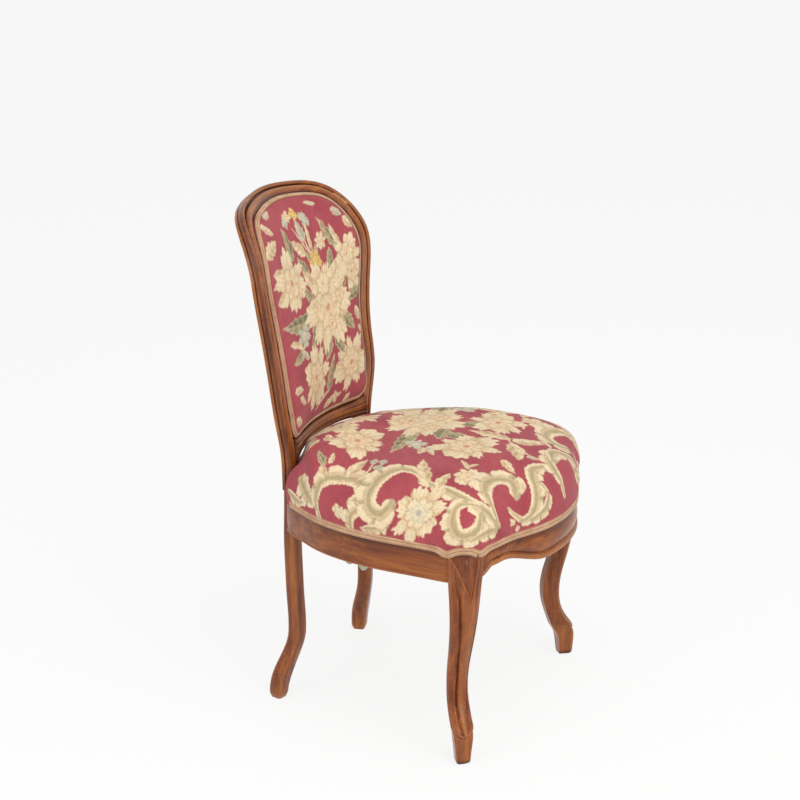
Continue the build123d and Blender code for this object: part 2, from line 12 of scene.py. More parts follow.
import bmesh
import bpy
import numpy as np
from bpy.types import Material, Mesh, Node, NodeSocket, NodeTree, Object
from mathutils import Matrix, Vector

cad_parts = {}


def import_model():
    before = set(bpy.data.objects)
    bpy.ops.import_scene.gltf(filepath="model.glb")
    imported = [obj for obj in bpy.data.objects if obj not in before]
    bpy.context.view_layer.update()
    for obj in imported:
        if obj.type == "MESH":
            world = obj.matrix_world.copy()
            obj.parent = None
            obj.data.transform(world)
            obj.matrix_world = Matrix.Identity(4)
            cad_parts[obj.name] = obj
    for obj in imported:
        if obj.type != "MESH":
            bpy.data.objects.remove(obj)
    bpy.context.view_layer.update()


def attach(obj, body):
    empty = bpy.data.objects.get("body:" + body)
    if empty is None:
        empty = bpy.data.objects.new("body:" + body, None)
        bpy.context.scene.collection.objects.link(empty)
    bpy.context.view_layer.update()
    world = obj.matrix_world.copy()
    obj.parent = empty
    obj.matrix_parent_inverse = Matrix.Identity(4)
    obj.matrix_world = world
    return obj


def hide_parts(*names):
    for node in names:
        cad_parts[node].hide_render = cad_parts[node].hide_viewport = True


LOG = logging.getLogger("chair")
MM = 0.001
BODY = "root"
DIAGONAL = math.sqrt(0.5)
FULL_TURN = 2 * math.pi
# Angles in degrees above which an edge stays sharp: on carved wood, and never on cloth.
SHARP_WOOD, SHARP_CLOTH = 40.0, 180.0
# Scale at which a Wave texture repeats once in a metre.
WAVE = 0.314
HESSIAN = "#9A7A50"


def linear(code: str) -> tuple[float, float, float, float]:
    """Turns an sRGB hex colour into the linear colour that Blender's sockets take.

    Args:
        code: Six hex digits after a hash.

    Returns:
        Linear red, green, blue and an alpha of 1.
    """
    parts = [int(code[i : i + 2], 16) / 255 for i in (1, 3, 5)]
    bent = [c / 12.92 if c <= 0.04045 else ((c + 0.055) / 1.055) ** 2.4 for c in parts]
    return (*bent, 1.0)


def ease(low: float, high: float, value: np.ndarray) -> np.ndarray:
    """Smooth step of values from 0 at low to 1 at high, which may lie below low."""
    share = np.clip((np.asarray(value, float) - low) / (high - low), 0, 1)
    return share * share * (3 - 2 * share)


def bell(value: np.ndarray, middle: float, width: float) -> np.ndarray:
    """Bell curve of height 1 about middle, fallen to about a third at width from it."""
    return np.exp(-(((np.asarray(value, float) - middle) / width) ** 2))


def speckle(spots: np.ndarray, size: float, seed: int) -> np.ndarray:
    """Soft noise from a few dozen waves that run in fixed, seeded directions.

    Args:
        spots: Points, one a row.
        size: Typical size of a patch, in the points' unit.
        seed: Seed of the directions.

    Returns:
        One value from about -1 to 1 for each point.
    """
    waves = 24
    draw = np.random.default_rng(seed)
    ways = draw.normal(size=(waves, spots.shape[1])) / size
    starts = draw.uniform(0, FULL_TURN, waves)
    return np.sin(spots @ ways.T * 2.2 + starts).sum(1) / waves**0.5 / 1.5


def unit(rows: np.ndarray) -> np.ndarray:
    """Scales each row to a length of 1."""
    return rows / np.maximum(np.linalg.norm(rows, axis=1, keepdims=True), 1e-12)


@dataclass
class CurvePath:
    """A smooth curve through a few chosen points.

    Args:
        points: The points, one a row.
        closed: Whether the curve runs round to its first point.
        ends: Directions at both ends of an open curve, or None for free ends.
    """

    points: np.ndarray
    closed: bool = False
    ends: tuple | None = None
    knots: np.ndarray = field(init=False)
    slopes: np.ndarray = field(init=False)

    def __post_init__(self) -> None:
        """Solves for the slopes that make the curve bend without breaks."""
        points = np.asarray(self.points, float)
        if self.closed:
            points = np.vstack([points, points[:1]])
        self.points = points
        runs = np.maximum(np.linalg.norm(np.diff(points, axis=0), axis=1), 1e-9)
        self.knots = np.concatenate([[0], np.cumsum(runs)])
        count = len(points)
        grid = np.zeros((count, count))
        side = np.zeros_like(points)
        steep = np.diff(points, axis=0) / runs[:, None]
        for i in range(1, count - 1):
            grid[i, i - 1 : i + 2] = (runs[i], 2 * (runs[i - 1] + runs[i]), runs[i - 1])
            side[i] = 3 * (runs[i] * steep[i - 1] + runs[i - 1] * steep[i])
        if self.closed:
            grid[0, [0, 1, -2]] = (2 * (runs[-1] + runs[0]), runs[-1], runs[0])
            side[0] = 3 * (runs[0] * steep[-1] + runs[-1] * steep[0])
            grid[-1, [0, -1]] = (1, -1)
        elif self.ends is not None:
            grid[0, 0] = grid[-1, -1] = 1
            side[0], side[-1] = self.ends
        else:
            grid[0, :2], grid[-1, -2:] = (2, 1), (1, 2)
            side[0], side[-1] = 3 * steep[0], 3 * steep[-1]
        self.slopes = np.linalg.solve(grid, side)

    def at(self, place: np.ndarray) -> np.ndarray:
        """Points of the curve.

        Args:
            place: Distances along the chords, from 0 to the last knot.

        Returns:
            One point a row.
        """
        place = np.atleast_1d(np.asarray(place, float))
        i = np.clip(np.searchsorted(self.knots, place, "right") - 1, 0, len(self.knots) - 2)
        run = self.knots[i + 1] - self.knots[i]
        t = ((place - self.knots[i]) / run)[:, None]
        run = run[:, None]
        a, b = self.points[i], self.points[i + 1]
        u, v = self.slopes[i] * run, self.slopes[i + 1] * run
        return a + t * u + t * t * (3 * (b - a) - 2 * u - v) + t**3 * (2 * (a - b) + u + v)

    def even(self, count: int, start: float = 0.0, end: float = 1.0) -> np.ndarray:
        """Points spread evenly along the curve's length.

        Args:
            count: Number of points.
            start: Share of the length at which the first point lies.
            end: Share at which the last one lies.

        Returns:
            One point a row.
        """
        fine = np.linspace(0, self.knots[-1], 1600)
        spots = self.at(fine)
        length = np.concatenate([[0], np.cumsum(np.linalg.norm(np.diff(spots, axis=0), axis=1))])
        return self.at(np.interp(np.linspace(start, end, count) * length[-1], length, fine))


def run_of(spots: np.ndarray, closed: bool = False) -> np.ndarray:
    """Unit directions along a row of points, which is open or runs round to its first point."""
    return unit(np.roll(spots, -1, 0) - np.roll(spots, 1, 0) if closed else np.gradient(spots, axis=0))


@dataclass
class Outline:
    """A closed outline in a plane, told by its reach in each direction from its middle.

    Args:
        spots: Its points from the middle, one a row.
    """

    spots: np.ndarray
    angles: np.ndarray = field(init=False)
    reaches: np.ndarray = field(init=False)

    def __post_init__(self) -> None:
        """Sorts the points by their direction."""
        angles = np.arctan2(self.spots[:, 1], self.spots[:, 0])
        order = np.argsort(angles)
        self.angles, self.reaches = angles[order], np.linalg.norm(self.spots, axis=1)[order]

    def reach(self, angle: np.ndarray) -> np.ndarray:
        """Distances of the outline from its middle in some directions, in radians."""
        return np.interp(angle, self.angles, self.reaches, period=FULL_TURN)

    def reach_at(self, flat: np.ndarray) -> np.ndarray:
        """Distances of the outline from its middle in the directions of some points."""
        return self.reach(np.arctan2(flat[:, 1], flat[:, 0]))


@contextmanager
def edited(mesh: Mesh) -> Iterator[bmesh.types.BMesh]:
    """Opens a mesh for edits and writes them back.

    Args:
        mesh: The mesh.

    Yields:
        Its form for edits.
    """
    work = bmesh.new()
    work.from_mesh(mesh)
    yield work
    work.to_mesh(mesh)
    work.free()


@dataclass
class Draft:
    """Corners, faces and brightening or darkening of a piece while it is put together: worn edges, grime,
    painted highlight and painted shade.

    Args:
        spots: Blocks of corners.
        faces: Faces as tuples of corner numbers.
        wear_and_shading: Blocks of how far each corner is brightened (1), by worn edges and painted highlight,
            or darkened (-1), by grime and painted shade.
    """

    spots: list = field(default_factory=list)
    faces: list = field(default_factory=list)
    wear_and_shading: list = field(default_factory=list)
    count: int = 0

    def block(self, spots: np.ndarray, wear_and_shading: np.ndarray | float = 0.0) -> int:
        """Adds corners.

        Args:
            spots: Corners, one a row.
            wear_and_shading: Their brightening or darkening, by worn edges, grime and painted light.

        Returns:
            Number of the first new corner.
        """
        first = self.count
        self.spots.append(np.asarray(spots, float))
        self.wear_and_shading.append(np.broadcast_to(np.asarray(wear_and_shading, float), len(spots)))
        self.count += len(spots)
        return first

    def sweep(self, sections: np.ndarray, wear_and_shading: np.ndarray | float = 0.0, closed: bool = False) -> Draft:
        """Adds a shell through a row of closed sections, with flat ends unless it is closed.

        Args:
            sections: Corners by section and by place round it.
            wear_and_shading: Brightening or darkening by worn edges, grime and painted light, by section and
                by place.
            closed: Whether the last section joins the first.

        Returns:
            The draft itself.
        """
        rows, places = sections.shape[:2]
        wear_and_shading = np.broadcast_to(np.asarray(wear_and_shading, float), (rows, places))
        first = self.block(sections.reshape(-1, 3), wear_and_shading.reshape(-1))
        for i in range(rows if closed else rows - 1):
            low, high = first + i * places, first + (i + 1) % rows * places
            for j in range(places):
                k = (j + 1) % places
                self.faces.append((low + j, low + k, high + k, high + j))
        if not closed:
            for i in (0, rows - 1):
                middle = self.block(sections[i].mean(0)[None], wear_and_shading[i].mean())
                ring = first + i * places
                for j in range(places):
                    self.faces.append((ring + j, ring + (j + 1) % places, middle))
        return self

    def mirrored(self) -> Draft:
        """The same draft on the chair's other side."""
        spots = [block * (-1.0, 1.0, 1.0) for block in self.spots]
        return Draft(spots, [face[::-1] for face in self.faces], list(self.wear_and_shading), self.count)

    def piece(self, name: str, finish: Material) -> Object:
        """Makes the object.

        Args:
            name: Name of the piece.
            finish: Its material.

        Returns:
            The object, linked to the scene.
        """
        mesh = bpy.data.meshes.new(name)
        mesh.from_pydata(np.vstack(self.spots).tolist(), [], self.faces)
        wear_and_shading = mesh.attributes.new("wear_and_shading", "FLOAT", "POINT")
        wear_and_shading.data.foreach_set("value", np.concatenate(self.wear_and_shading).astype(np.float32))
        with edited(mesh) as work:
            bmesh.ops.recalc_face_normals(work, faces=work.faces)
        return placed(name, mesh, finish)


def placed(name: str, mesh: Mesh, finish: Material, sharp: float = SHARP_WOOD) -> Object:
    """Links a mesh into the scene with one finish and smooth shading.

    Args:
        name: Name of the piece.
        mesh: Its mesh, in place.
        finish: Its material.
        sharp: Angle in degrees above which an edge stays sharp.

    Returns:
        The object.
    """
    mesh.materials.clear()
    mesh.materials.append(finish)
    mesh.polygons.foreach_set("use_smooth", [True] * len(mesh.polygons))
    mesh.set_sharp_from_angle(angle=math.radians(sharp))
    piece = bpy.data.objects.new(name, mesh)
    bpy.context.scene.collection.objects.link(piece)
    return piece


def hand_over(piece: Object, slot: str, *nodes: str) -> None:
    """Lets a piece ride on the chair and stand for its solids.

    Args:
        piece: The piece.
        slot: The record's material slot; not used.
        nodes: Solids that it stands for.
    """
    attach(piece, BODY)
    if nodes:
        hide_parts(*nodes)
    LOG.info("%s: %d corners for %s", piece.name, len(piece.data.vertices), ", ".join(nodes) or "trim")


def both_sides(right: Draft, name: str, finish: Material, node: str) -> None:
    """Hands over a wooden piece and its mirror image, with piece and solid named after their side."""
    for side, draft in (("right", right), ("left", right.mirrored())):
        hand_over(draft.piece(f"{side}_{name}", finish), "walnut", f"{side}_{node}")


def settled(piece: Object) -> Object:
    """Turns a piece with modifiers into a plain mesh.

    Args:
        piece: The piece; its modifiers are removed.

    Returns:
        The same object with the result as its mesh.
    """
    graph = bpy.context.evaluated_depsgraph_get()
    graph.update()
    mesh = bpy.data.meshes.new_from_object(piece.evaluated_get(graph))
    piece.modifiers.clear()
    piece.data = mesh
    return piece


def add(tree: NodeTree, kind: str, links: dict | None = None, **settings: object) -> Node:
    """Adds a node with its settings, numbers and links.

    Args:
        tree: The tree that takes the node.
        kind: The node's type; one without the word Node is a shader node.
        links: A socket, a node or a plain value for each input by name or number.
        settings: Values of the node's own options; stops fills a colour ramp.

    Returns:
        The node.
    """
    node = tree.nodes.new(kind if "Node" in kind else "ShaderNode" + kind)
    stops = settings.pop("stops", ())
    for name, value in settings.items():
        setattr(node, name, value)
    for key, value in (links or {}).items():
        if isinstance(value, Node):
            value = next(s for s in value.outputs if s.enabled)
        if isinstance(value, NodeSocket):
            tree.links.new(value, node.inputs[key])
        else:
            node.inputs[key].default_value = value
    for i, (place, colour) in enumerate(stops):
        ramp = node.color_ramp.elements
        stop = ramp[i] if i < 2 else ramp.new(place)
        stop.position, stop.color = place, colour
    return node


def blank_material(name: str) -> tuple[Material, NodeTree]:
    """Starts a material.

    Args:
        name: Name of the material.

    Returns:
        The material and its empty tree.
    """
    material = bpy.data.materials.new(name)
    material.use_nodes = True
    material.node_tree.nodes.clear()
    return material, material.node_tree


def end_in_shader(tree: NodeTree, sockets: dict) -> None:
    """Ends a material in its output and one shader, which takes links and constants by socket."""
    shader = add(tree, "BsdfPrincipled", sockets)
    add(tree, "OutputMaterial", {"Surface": shader})


class Grain(Enum):
    """Which way the fibres run in a piece of wood."""

    ACROSS = 0
    DEEP = 1
    UPRIGHT = 2

    def scale(self, width: float, run: float) -> tuple[float, float, float]:
        """Scale of a Mapping node for streaks of some width and run, in metres."""
        return tuple(1 / (run if i == self.value else width) for i in range(3))


@dataclass(frozen=True)
class VarnishedWalnut:
    """Walnut, planed and carved, under an old satin varnish: warm streaks, quirks darkened by grime and
    painted shade, edges and ridges brightened by wearing and painted highlight.

    The streaks are drawn coarser than walnut's pores, so that they show.
    """

    name: str
    grain: Grain
    deep: str = "#54250F"
    middle: str = "#7F3F19"
    bright: str = "#AA6326"
    dirt_and_painted_shading: str = "#21110B"
    rubbed_and_lit: str = "#C07A3A"
    bare: str = "#CFA274"
    roughness: float = 0.29
    streak: float = 1.3 * MM
    figure: float = 11 * MM
    wear_and_highlight: float = 1.0

    def material(self) -> Material:
        """Builds the material.

        Returns:
            The material.
        """
        material, tree = blank_material(self.name)
        place = add(tree, "TexCoord").outputs["Object"]
        layers = []
        for width, run, detail in ((self.streak, 55 * MM, 3.0), (self.figure, 150 * MM, 4.0)):
            lie = add(tree, "Mapping", {"Vector": place, "Scale": self.grain.scale(width, run)})
            layers.append(add(tree, "TexNoise", {"Vector": lie, "Scale": 1.0, "Detail": detail}))
        fine, broad = layers
        shade = add(tree, "Mix", {0: 0.58, 2: fine, 3: broad}, data_type="FLOAT").outputs[0]
        stops = ((0.34, linear(self.deep)), (0.5, linear(self.middle)), (0.68, linear(self.bright)))
        tone = add(tree, "ValToRGB", {0: shade}, stops=stops).outputs[0]
        # The attribute brightens worn edges and lit crowns, as painted highlight, and darkens grimy quirks,
        # hollows and flanks facing away from the light, as painted shade.
        wear_and_shading = add(tree, "Attribute", attribute_name="wear_and_shading").outputs["Fac"]
        patch = add(tree, "TexNoise", {"Vector": place, "Scale": 1 / (16 * MM), "Detail": 5.0})
        uneven = add(tree, "Math", {0: patch, 1: 1.5, 2: 0.25}, operation="MULTIPLY_ADD")
        high = add(tree, "Math", {0: wear_and_shading, 1: uneven}, operation="MULTIPLY", use_clamp=True)
        high = add(tree, "Math", {0: high, 1: 0.55 * self.wear_and_highlight}, operation="MULTIPLY")
        low = add(tree, "Math", {0: wear_and_shading, 1: -0.9}, operation="MULTIPLY", use_clamp=True)
        nick = add(tree, "TexNoise", {"Vector": place, "Scale": 1 / (3.2 * MM), "Detail": 2.0})
        edge = add(tree, "Math", {0: wear_and_shading, 1: 0.13, 2: -0.05}, operation="MULTIPLY_ADD")
        bare = add(tree, "Math", {0: nick, 1: edge}, operation="ADD")
        bare = add(tree, "MapRange", {0: bare, 1: 0.735, 2: 0.76, 3: 0.0, 4: 0.75 * self.wear_and_highlight})
        for share, colour in ((high, self.rubbed_and_lit), (low, self.dirt_and_painted_shading), (bare, self.bare)):
            mixed = add(tree, "Mix", {0: share, 6: tone, 7: linear(colour)}, data_type="RGBA")
            tone = mixed.outputs[2]
        gloss = {3: self.roughness - 0.05, 4: self.roughness + 0.12}
        rough = add(tree, "MapRange", {0: patch, 1: 0.3, 2: 0.7, **gloss})
        bump = add(tree, "Bump", {"Height": fine, "Strength": 0.22, "Distance": 0.25 * MM})
        varnish = {"IOR": 1.5, "Specular IOR Level": 0.24, "Coat Weight": 0.3, "Coat Roughness": 0.12}
        end_in_shader(tree, {"Base Color": tone, "Roughness": rough, "Normal": bump, **varnish})
        return material


@dataclass(frozen=True)
class PlainCloth:
    """A plain woven cloth: two crossing sets of threads, a little uneven, with a soft sheen.

    The threads are drawn coarser than the real ones, so that they show.
    """

    name: str
    light: str
    dark: str
    thread: float = 1.6 * MM
    sheen: float = 0.15

    def material(self) -> Material:
        """Builds the material.

        Returns:
            The material.
        """
        material, tree = blank_material(self.name)
        place = add(tree, "TexCoord").outputs["Object"]
        sizes = {"Vector": place, "Scale": WAVE / self.thread, "Distortion": 0.6, "Detail Scale": 3.0}
        warp, weft = (add(tree, "TexWave", sizes, bands_direction=way).outputs[1] for way in "XZ")
        cross = add(tree, "Math", {0: warp, 1: weft}, operation="ADD")
        cross = add(tree, "Math", {0: cross, 1: 0.5}, operation="MULTIPLY")
        patch = add(tree, "TexNoise", {"Vector": place, "Scale": 1 / (9 * MM), "Detail": 4.0})
        mixed = add(tree, "Mix", {0: 0.55, 2: cross, 3: patch}, data_type="FLOAT")
        stops = ((0.25, linear(self.dark)), (0.7, linear(self.light)))
        tone = add(tree, "ValToRGB", {0: mixed.outputs[0]}, stops=stops)
        bump = add(tree, "Bump", {"Height": cross, "Strength": 0.35, "Distance": 0.3 * MM})
        matt = {"Roughness": 0.9, "Sheen Weight": self.sheen}
        end_in_shader(tree, {"Base Color": tone, "Normal": bump, **matt})
        return material


@dataclass(frozen=True)
class FiguredTapestry:
    """Machine-woven tapestry: fine weft ribs over a figure of flowers, a dry, matt face with a soft nap.

    The ribs are drawn a little coarser than the real ones, so that they show.
    """

    name: str
    rib: float = 1.9 * MM
    fleck: float = 2.6 * MM

    def material(self) -> Material:
        """Builds the material.

        Returns:
            The material.
        """
        material, tree = blank_material(self.name)
        cloth = add(tree, "UVMap", uv_map="cloth").outputs[0]
        figure = add(tree, "Attribute", attribute_name="figure").outputs["Color"]
        sizes = {"Scale": WAVE / self.rib, "Distortion": 1.2, "Detail": 2.0, "Detail Scale": 2.0}
        ribs = add(tree, "TexWave", {"Vector": cloth, **sizes}, bands_direction="Y").outputs[1]
        fleck = add(tree, "TexNoise", {"Vector": cloth, "Scale": 1 / self.fleck, "Detail": 3.0})
        fade = add(tree, "TexNoise", {"Vector": cloth, "Scale": 1 / (60 * MM), "Detail": 3.0})
        spun = add(tree, "Mix", {0: 0.5, 2: ribs, 3: fleck}, data_type="FLOAT").outputs[0]
        depth = add(tree, "MapRange", {0: spun, 1: 0.2, 2: 0.8, 3: 0.78, 4: 1.14})
        worn = add(tree, "MapRange", {0: fade, 1: 0.3, 2: 0.7, 3: 0.94, 4: 1.05})
        light = add(tree, "Math", {0: depth, 1: worn}, operation="MULTIPLY")
        grey = add(tree, "CombineColor", {0: light, 1: light, 2: light})
        shaded = {0: 1.0, 6: figure, 7: grey}
        tone = add(tree, "Mix", shaded, data_type="RGBA", blend_type="MULTIPLY").outputs[2]
        bump = add(tree, "Bump", {"Height": spun, "Strength": 0.45, "Distance": 0.5 * MM})
        nap = {"Specular IOR Level": 0.25, "Sheen Weight": 0.12, "Sheen Roughness": 0.5}
        end_in_shader(tree, {"Base Color": tone, "Normal": bump, "Roughness": 0.93, **nap})
        return material


@dataclass(frozen=True)
class GimpYarn:
    """Cotton and silk gimp: plaited tan yarn, faded unevenly, with painted shade in its gaps."""

    name: str
    light: str = "#DAB28C"
    dark: str = "#AD835F"
    # Colour of the backing tape and of the strands' tucked ends, dark as painted shade.
    tape: str = "#87624A"
    strand: float = 0.8 * MM

    def material(self) -> Material:
        """Builds the material.

        Returns:
            The material.
        """
        material, tree = blank_material(self.name)
        place = add(tree, "TexCoord").outputs["Object"]
        strand = add(tree, "TexNoise", {"Vector": place, "Scale": 1 / self.strand, "Detail": 2.0})
        fade = add(tree, "TexNoise", {"Vector": place, "Scale": 1 / (22 * MM), "Detail": 3.0})
        mixed = add(tree, "Mix", {0: 0.5, 2: strand, 3: fade}, data_type="FLOAT")
        stops = ((0.33, linear(self.dark)), (0.62, linear(self.light)))
        tone = add(tree, "ValToRGB", {0: mixed.outputs[0]}, stops=stops)
        # Strand ends and the tape between the strands darken towards the tape colour, as painted shade.
        gap = add(tree, "Attribute", attribute_name="wear_and_shading").outputs["Fac"]
        gap = add(tree, "Math", {0: gap, 1: -1.0}, operation="MULTIPLY", use_clamp=True)
        tone = add(tree, "Mix", {0: gap, 6: tone, 7: linear(self.tape)}, data_type="RGBA")
        bump = add(tree, "Bump", {"Height": strand, "Strength": 0.4, "Distance": 0.25 * MM})
        matt = {"Roughness": 0.8, "Sheen Weight": 0.2}
        end_in_shader(tree, {"Base Color": tone.outputs[2], "Normal": bump, **matt})
        return material


@dataclass(frozen=True)
class DullMetal:
    """Old drawn steel or iron: dull, blotched with a little rust."""

    name: str
    clean: str
    rust: str = "#5A3A28"
    roughness: float = 0.5

    def material(self) -> Material:
        """Builds the material.

        Returns:
            The material.
        """
        material, tree = blank_material(self.name)
        place = add(tree, "TexCoord").outputs["Object"]
        patch = add(tree, "TexNoise", {"Vector": place, "Scale": 1 / (5 * MM), "Detail": 4.0})
        stops = ((0.45, linear(self.clean)), (0.7, linear(self.rust)))
        tone = add(tree, "ValToRGB", {0: patch}, stops=stops)
        end_in_shader(tree, {"Base Color": tone, "Metallic": 1.0, "Roughness": self.roughness})
        return material


RAW_BEECH = VarnishedWalnut(
    "raw_beech", Grain.DEEP, "#A8794F", "#C79C6C", "#D9B588", "#5A3C26", "#D9B588", "#E2C59C", 0.7
)


def finished(finish: VarnishedWalnut | PlainCloth | FiguredTapestry | GimpYarn | DullMetal) -> Material:
    """A field that holds a finish's material, built when the chair's finishes are."""
    return field(default_factory=finish.material)


@dataclass
class Finishes:
    """All the chair's finishes, built once."""

    upright: Material = finished(VarnishedWalnut("varnished_walnut_upright", Grain.UPRIGHT))
    across: Material = finished(VarnishedWalnut("varnished_walnut_across", Grain.ACROSS))
    deep: Material = finished(VarnishedWalnut("varnished_walnut_deep", Grain.DEEP))
    beech: Material = finished(RAW_BEECH)
    tapestry: Material = finished(FiguredTapestry("figured_tapestry"))
    gimp: Material = finished(GimpYarn("plaited_gimp"))
    back_cloth: Material = finished(PlainCloth("crimson_rep", "#A5505C", "#7C3540"))
    dust_cloth: Material = finished(PlainCloth("faded_green_cotton", "#C3C6AC", "#97997F", 1.2 * MM))
    jute: Material = finished(PlainCloth("jute_webbing", "#B8925F", "#7E5F3A", 2.2 * MM))
    steel: Material = finished(DullMetal("coppered_spring_wire", "#8A7C70"))
    iron: Material = finished(DullMetal("blued_iron", "#3B3A3A"))


@dataclass
class BackFrame:
    """The moulded back: posts with swept legs, crest rail and lower rail, in millimetres as in the solids."""

    finishes: Finishes
    height: float = 900.0
    depth: float = 602.0
    rail_top: float = 395.0
    half_width: float = 196.5
    bow: float = 49.0
    rake: float = 0.148
    rake_start: float = 470.0
    rake_blend: float = 30.0
    roll_start: float = 780.0
    roll: float = 42.0
    post_half: float = 150.0
    frame_depth: float = 24.0
    frame_width: float = 34.0
    bead: float = 8.0
    quirk: float = 3.0
    ridge: float = 13.5
    fillet: float = 2.5
    rebate_depth: float = 6.0
    bead_top: float = -5.5
    ridge_top: float = -1.0
    joint: float = 0.72
    rail_height: float = 469.0
    rail_drop: float = 3.6
    rail_moulded: float = 26.0
    rail_arch: float = 4.0
    corner_flare: float = 9.0
    plain_below: float = 418.0
    carved_above: float = 446.0
    leg: float = 26.0
    splay: float = 23.0
    sweep: float = 24.0
    sweep_height: float = 125.0
    leg_corner: float = 6.0
    outline: CurvePath = field(init=False)

    def __post_init__(self) -> None:
        """Works out the rates and the outline of the outer edge, seen from the front."""
        slope = self.rake + 2 * self.roll / (self.height - self.roll_start)
        self.crest_y = self.depth / 2 - self.frame_depth / math.hypot(1, slope)
        self.bow_rate = self.bow / self.half_width**2
        self.roll_rate = self.roll / (self.height - self.roll_start) ** 2
        self.post_y = float(self.face(self.post_half, self.rail_top)) + self.leg / 2
        self.post_x = self.post_half - self.leg / 2
        self.post_turn = math.atan(2 * self.bow_rate * self.post_half)
        wide, low, high = self.half_width, self.rail_height, self.height
        half = (
            (self.post_half, self.rail_top + 5), (self.post_half + 4, low), (wide - 25, low + 71),
            (wide - 22, low + 136), (wide - 10, high - 198), (wide, high - 131), (wide - 10, high - 81),
            (wide - 46, high - 27), (wide - 120, high - 5), (0, high),
        )
        self.outline = CurvePath(np.array(half), ends=((0, 1), (-1, 0)))

    def face(self, x: np.ndarray, z: np.ndarray) -> np.ndarray:
        """Y of the frame's front face: upright at the seat, raked above, bowed in plan, rolled at the crest.

        Args:
            x: Distance from the middle.
            z: Height.

        Returns:
            Y of the face.
        """
        above = z - self.rake_start
        rake = self.rake * ((above + np.hypot(above, self.rake_blend)) / 2 - (self.height - self.rake_start))
        roll = self.roll_rate * np.maximum(z - self.roll_start, 0) ** 2 - self.roll
        return self.crest_y + rake + roll - self.bow_rate * np.square(x)

    def on_face(self, x: np.ndarray, z: np.ndarray) -> np.ndarray:
        """Points of the front face, one a row."""
        return np.stack([x, self.face(x, z), z], 1)

    def outward(self, x: np.ndarray, z: np.ndarray) -> np.ndarray:
        """Unit vectors out of the front face.

        Args:
            x: Distance from the middle.
            z: Height.

        Returns:
            One vector a row.
        """
        above = z - self.rake_start
        lean = self.rake * (1 + above / np.hypot(above, self.rake_blend)) / 2
        lean = lean + 2 * self.roll_rate * np.maximum(z - self.roll_start, 0)
        return unit(np.stack([-2 * self.bow_rate * x, -np.ones_like(z), lean], 1))

    def stations(self, spots: np.ndarray) -> tuple[np.ndarray, np.ndarray, np.ndarray]:
        """Places and directions of the frame at points of its outline.

        Args:
            spots: Points of the outline as x and height.

        Returns:
            Points on the face, directions inwards from the edge and directions out of the face.
        """
        x, z = spots.T
        places = self.on_face(x, z)
        out = self.outward(x, z)
        return places, unit(np.cross(out, run_of(places))), out

    def moulding(self) -> np.ndarray:
        """The moulding's section: bead, quirk, broad ridge, fillet and rebate.

        Returns:
            Distance inwards, rise and rubbing, one corner a row, round the section.
        """
        turn = np.linspace(math.pi, 0, 11)
        top, side = self.bead_top, np.cos(turn)
        # Third column: the crowns of bead and ridge and the rear arris are brighter, as wearing and painted
        # highlight; quirk, rebate and grooves are darker, as painted shade.
        glow = 0.7 * np.sin(turn) + 0.2 * side - 0.3
        bead = np.stack([self.bead / 2 * (1 + side), top - 3.6 * (1 - np.sin(turn)), glow], 1)
        start = self.bead + self.quirk
        quirk = np.array(
            [(self.bead + 0.5, top - 6.2, -1), (start - 0.6, top - 6.2, -1), (start - 0.1, top - 2.8, -0.6)]
        )
        share = np.linspace(0.02, 1, 17)
        climb = np.sqrt(np.maximum(1 - (1 - np.minimum(share / 0.46, 1)) ** 2, 0))
        fall = np.maximum((share - 0.46) / 0.54, 0)
        rise = top - 2 + (self.ridge_top - top + 2) * climb - 2.4 * fall**2
        ridge = np.stack([start + share * self.ridge, rise, 0.85 * np.minimum(climb, 1 - fall) - 0.2], 1)
        end = start + self.ridge
        edge = end + self.fillet
        wide, deep = self.frame_width, self.frame_depth
        low = self.ridge_top - 3
        inner = (
            (end + 0.2, low - 0.4, -0.7), (edge, low - 0.6, -0.3), (edge + 0.2, -self.rebate_depth, -0.9),
            (wide, -self.rebate_depth, -0.6), (wide, 3 - deep, -0.3), (wide - 2, -deep, 0.1),
            (wide / 2, -deep, 0), (2.5, -deep, 0.2), (0.6, 0.8 - deep, 0.6), (0, 2.5 - deep, 0.5),
            (0, 5.2 - deep, 0.6), (1.8, 6.2 - deep, -1.0), (1.7, 7.2 - deep, -1.0),
            (0.5, 8.6 - deep, -0.2), (0.3, 10 - deep, 0.1), (0.9, top - 6.5, -0.6),
        )
        return np.vstack([bead, quirk, ridge, inner])

    def length(self, spots: np.ndarray, seams: tuple[bool, bool]) -> tuple[np.ndarray, np.ndarray]:
        """Sections of the moulding along points of the outline.

        Args:
            spots: Points of the outline.
            seams: Whether the first and the last end have a glue line.

        Returns:
            Sections in metres and their brightening or darkening, by worn edges, grime and painted light.
        """
        section = self.moulding()
        places, inward, out = self.stations(spots)
        plain = np.clip(section[:, 1], -self.frame_depth, -1.5)
        carved = ease(self.plain_below, self.carved_above, places[:, 2])[:, None]
        rise = carved * section[None, :, 1] + (1 - carved) * plain[None]
        wear_and_shading = carved * section[None, :, 2] + (1 - carved) * np.minimum(section[None, :, 2], 0.1)
        across = np.broadcast_to(section[None, :, 0], rise.shape).copy()
        for end, seam in zip((0, -1), seams):
            if seam:
                middle = (self.frame_width / 2, -self.frame_depth / 2)
                across[end] = middle[0] + (across[end] - middle[0]) * 0.985
                rise[end] = middle[1] + (rise[end] - middle[1]) * 0.97
                wear_and_shading[end] = -1
        shape = places[:, None] + across[..., None] * inward[:, None] + rise[..., None] * out[:, None]
        return shape * MM, wear_and_shading

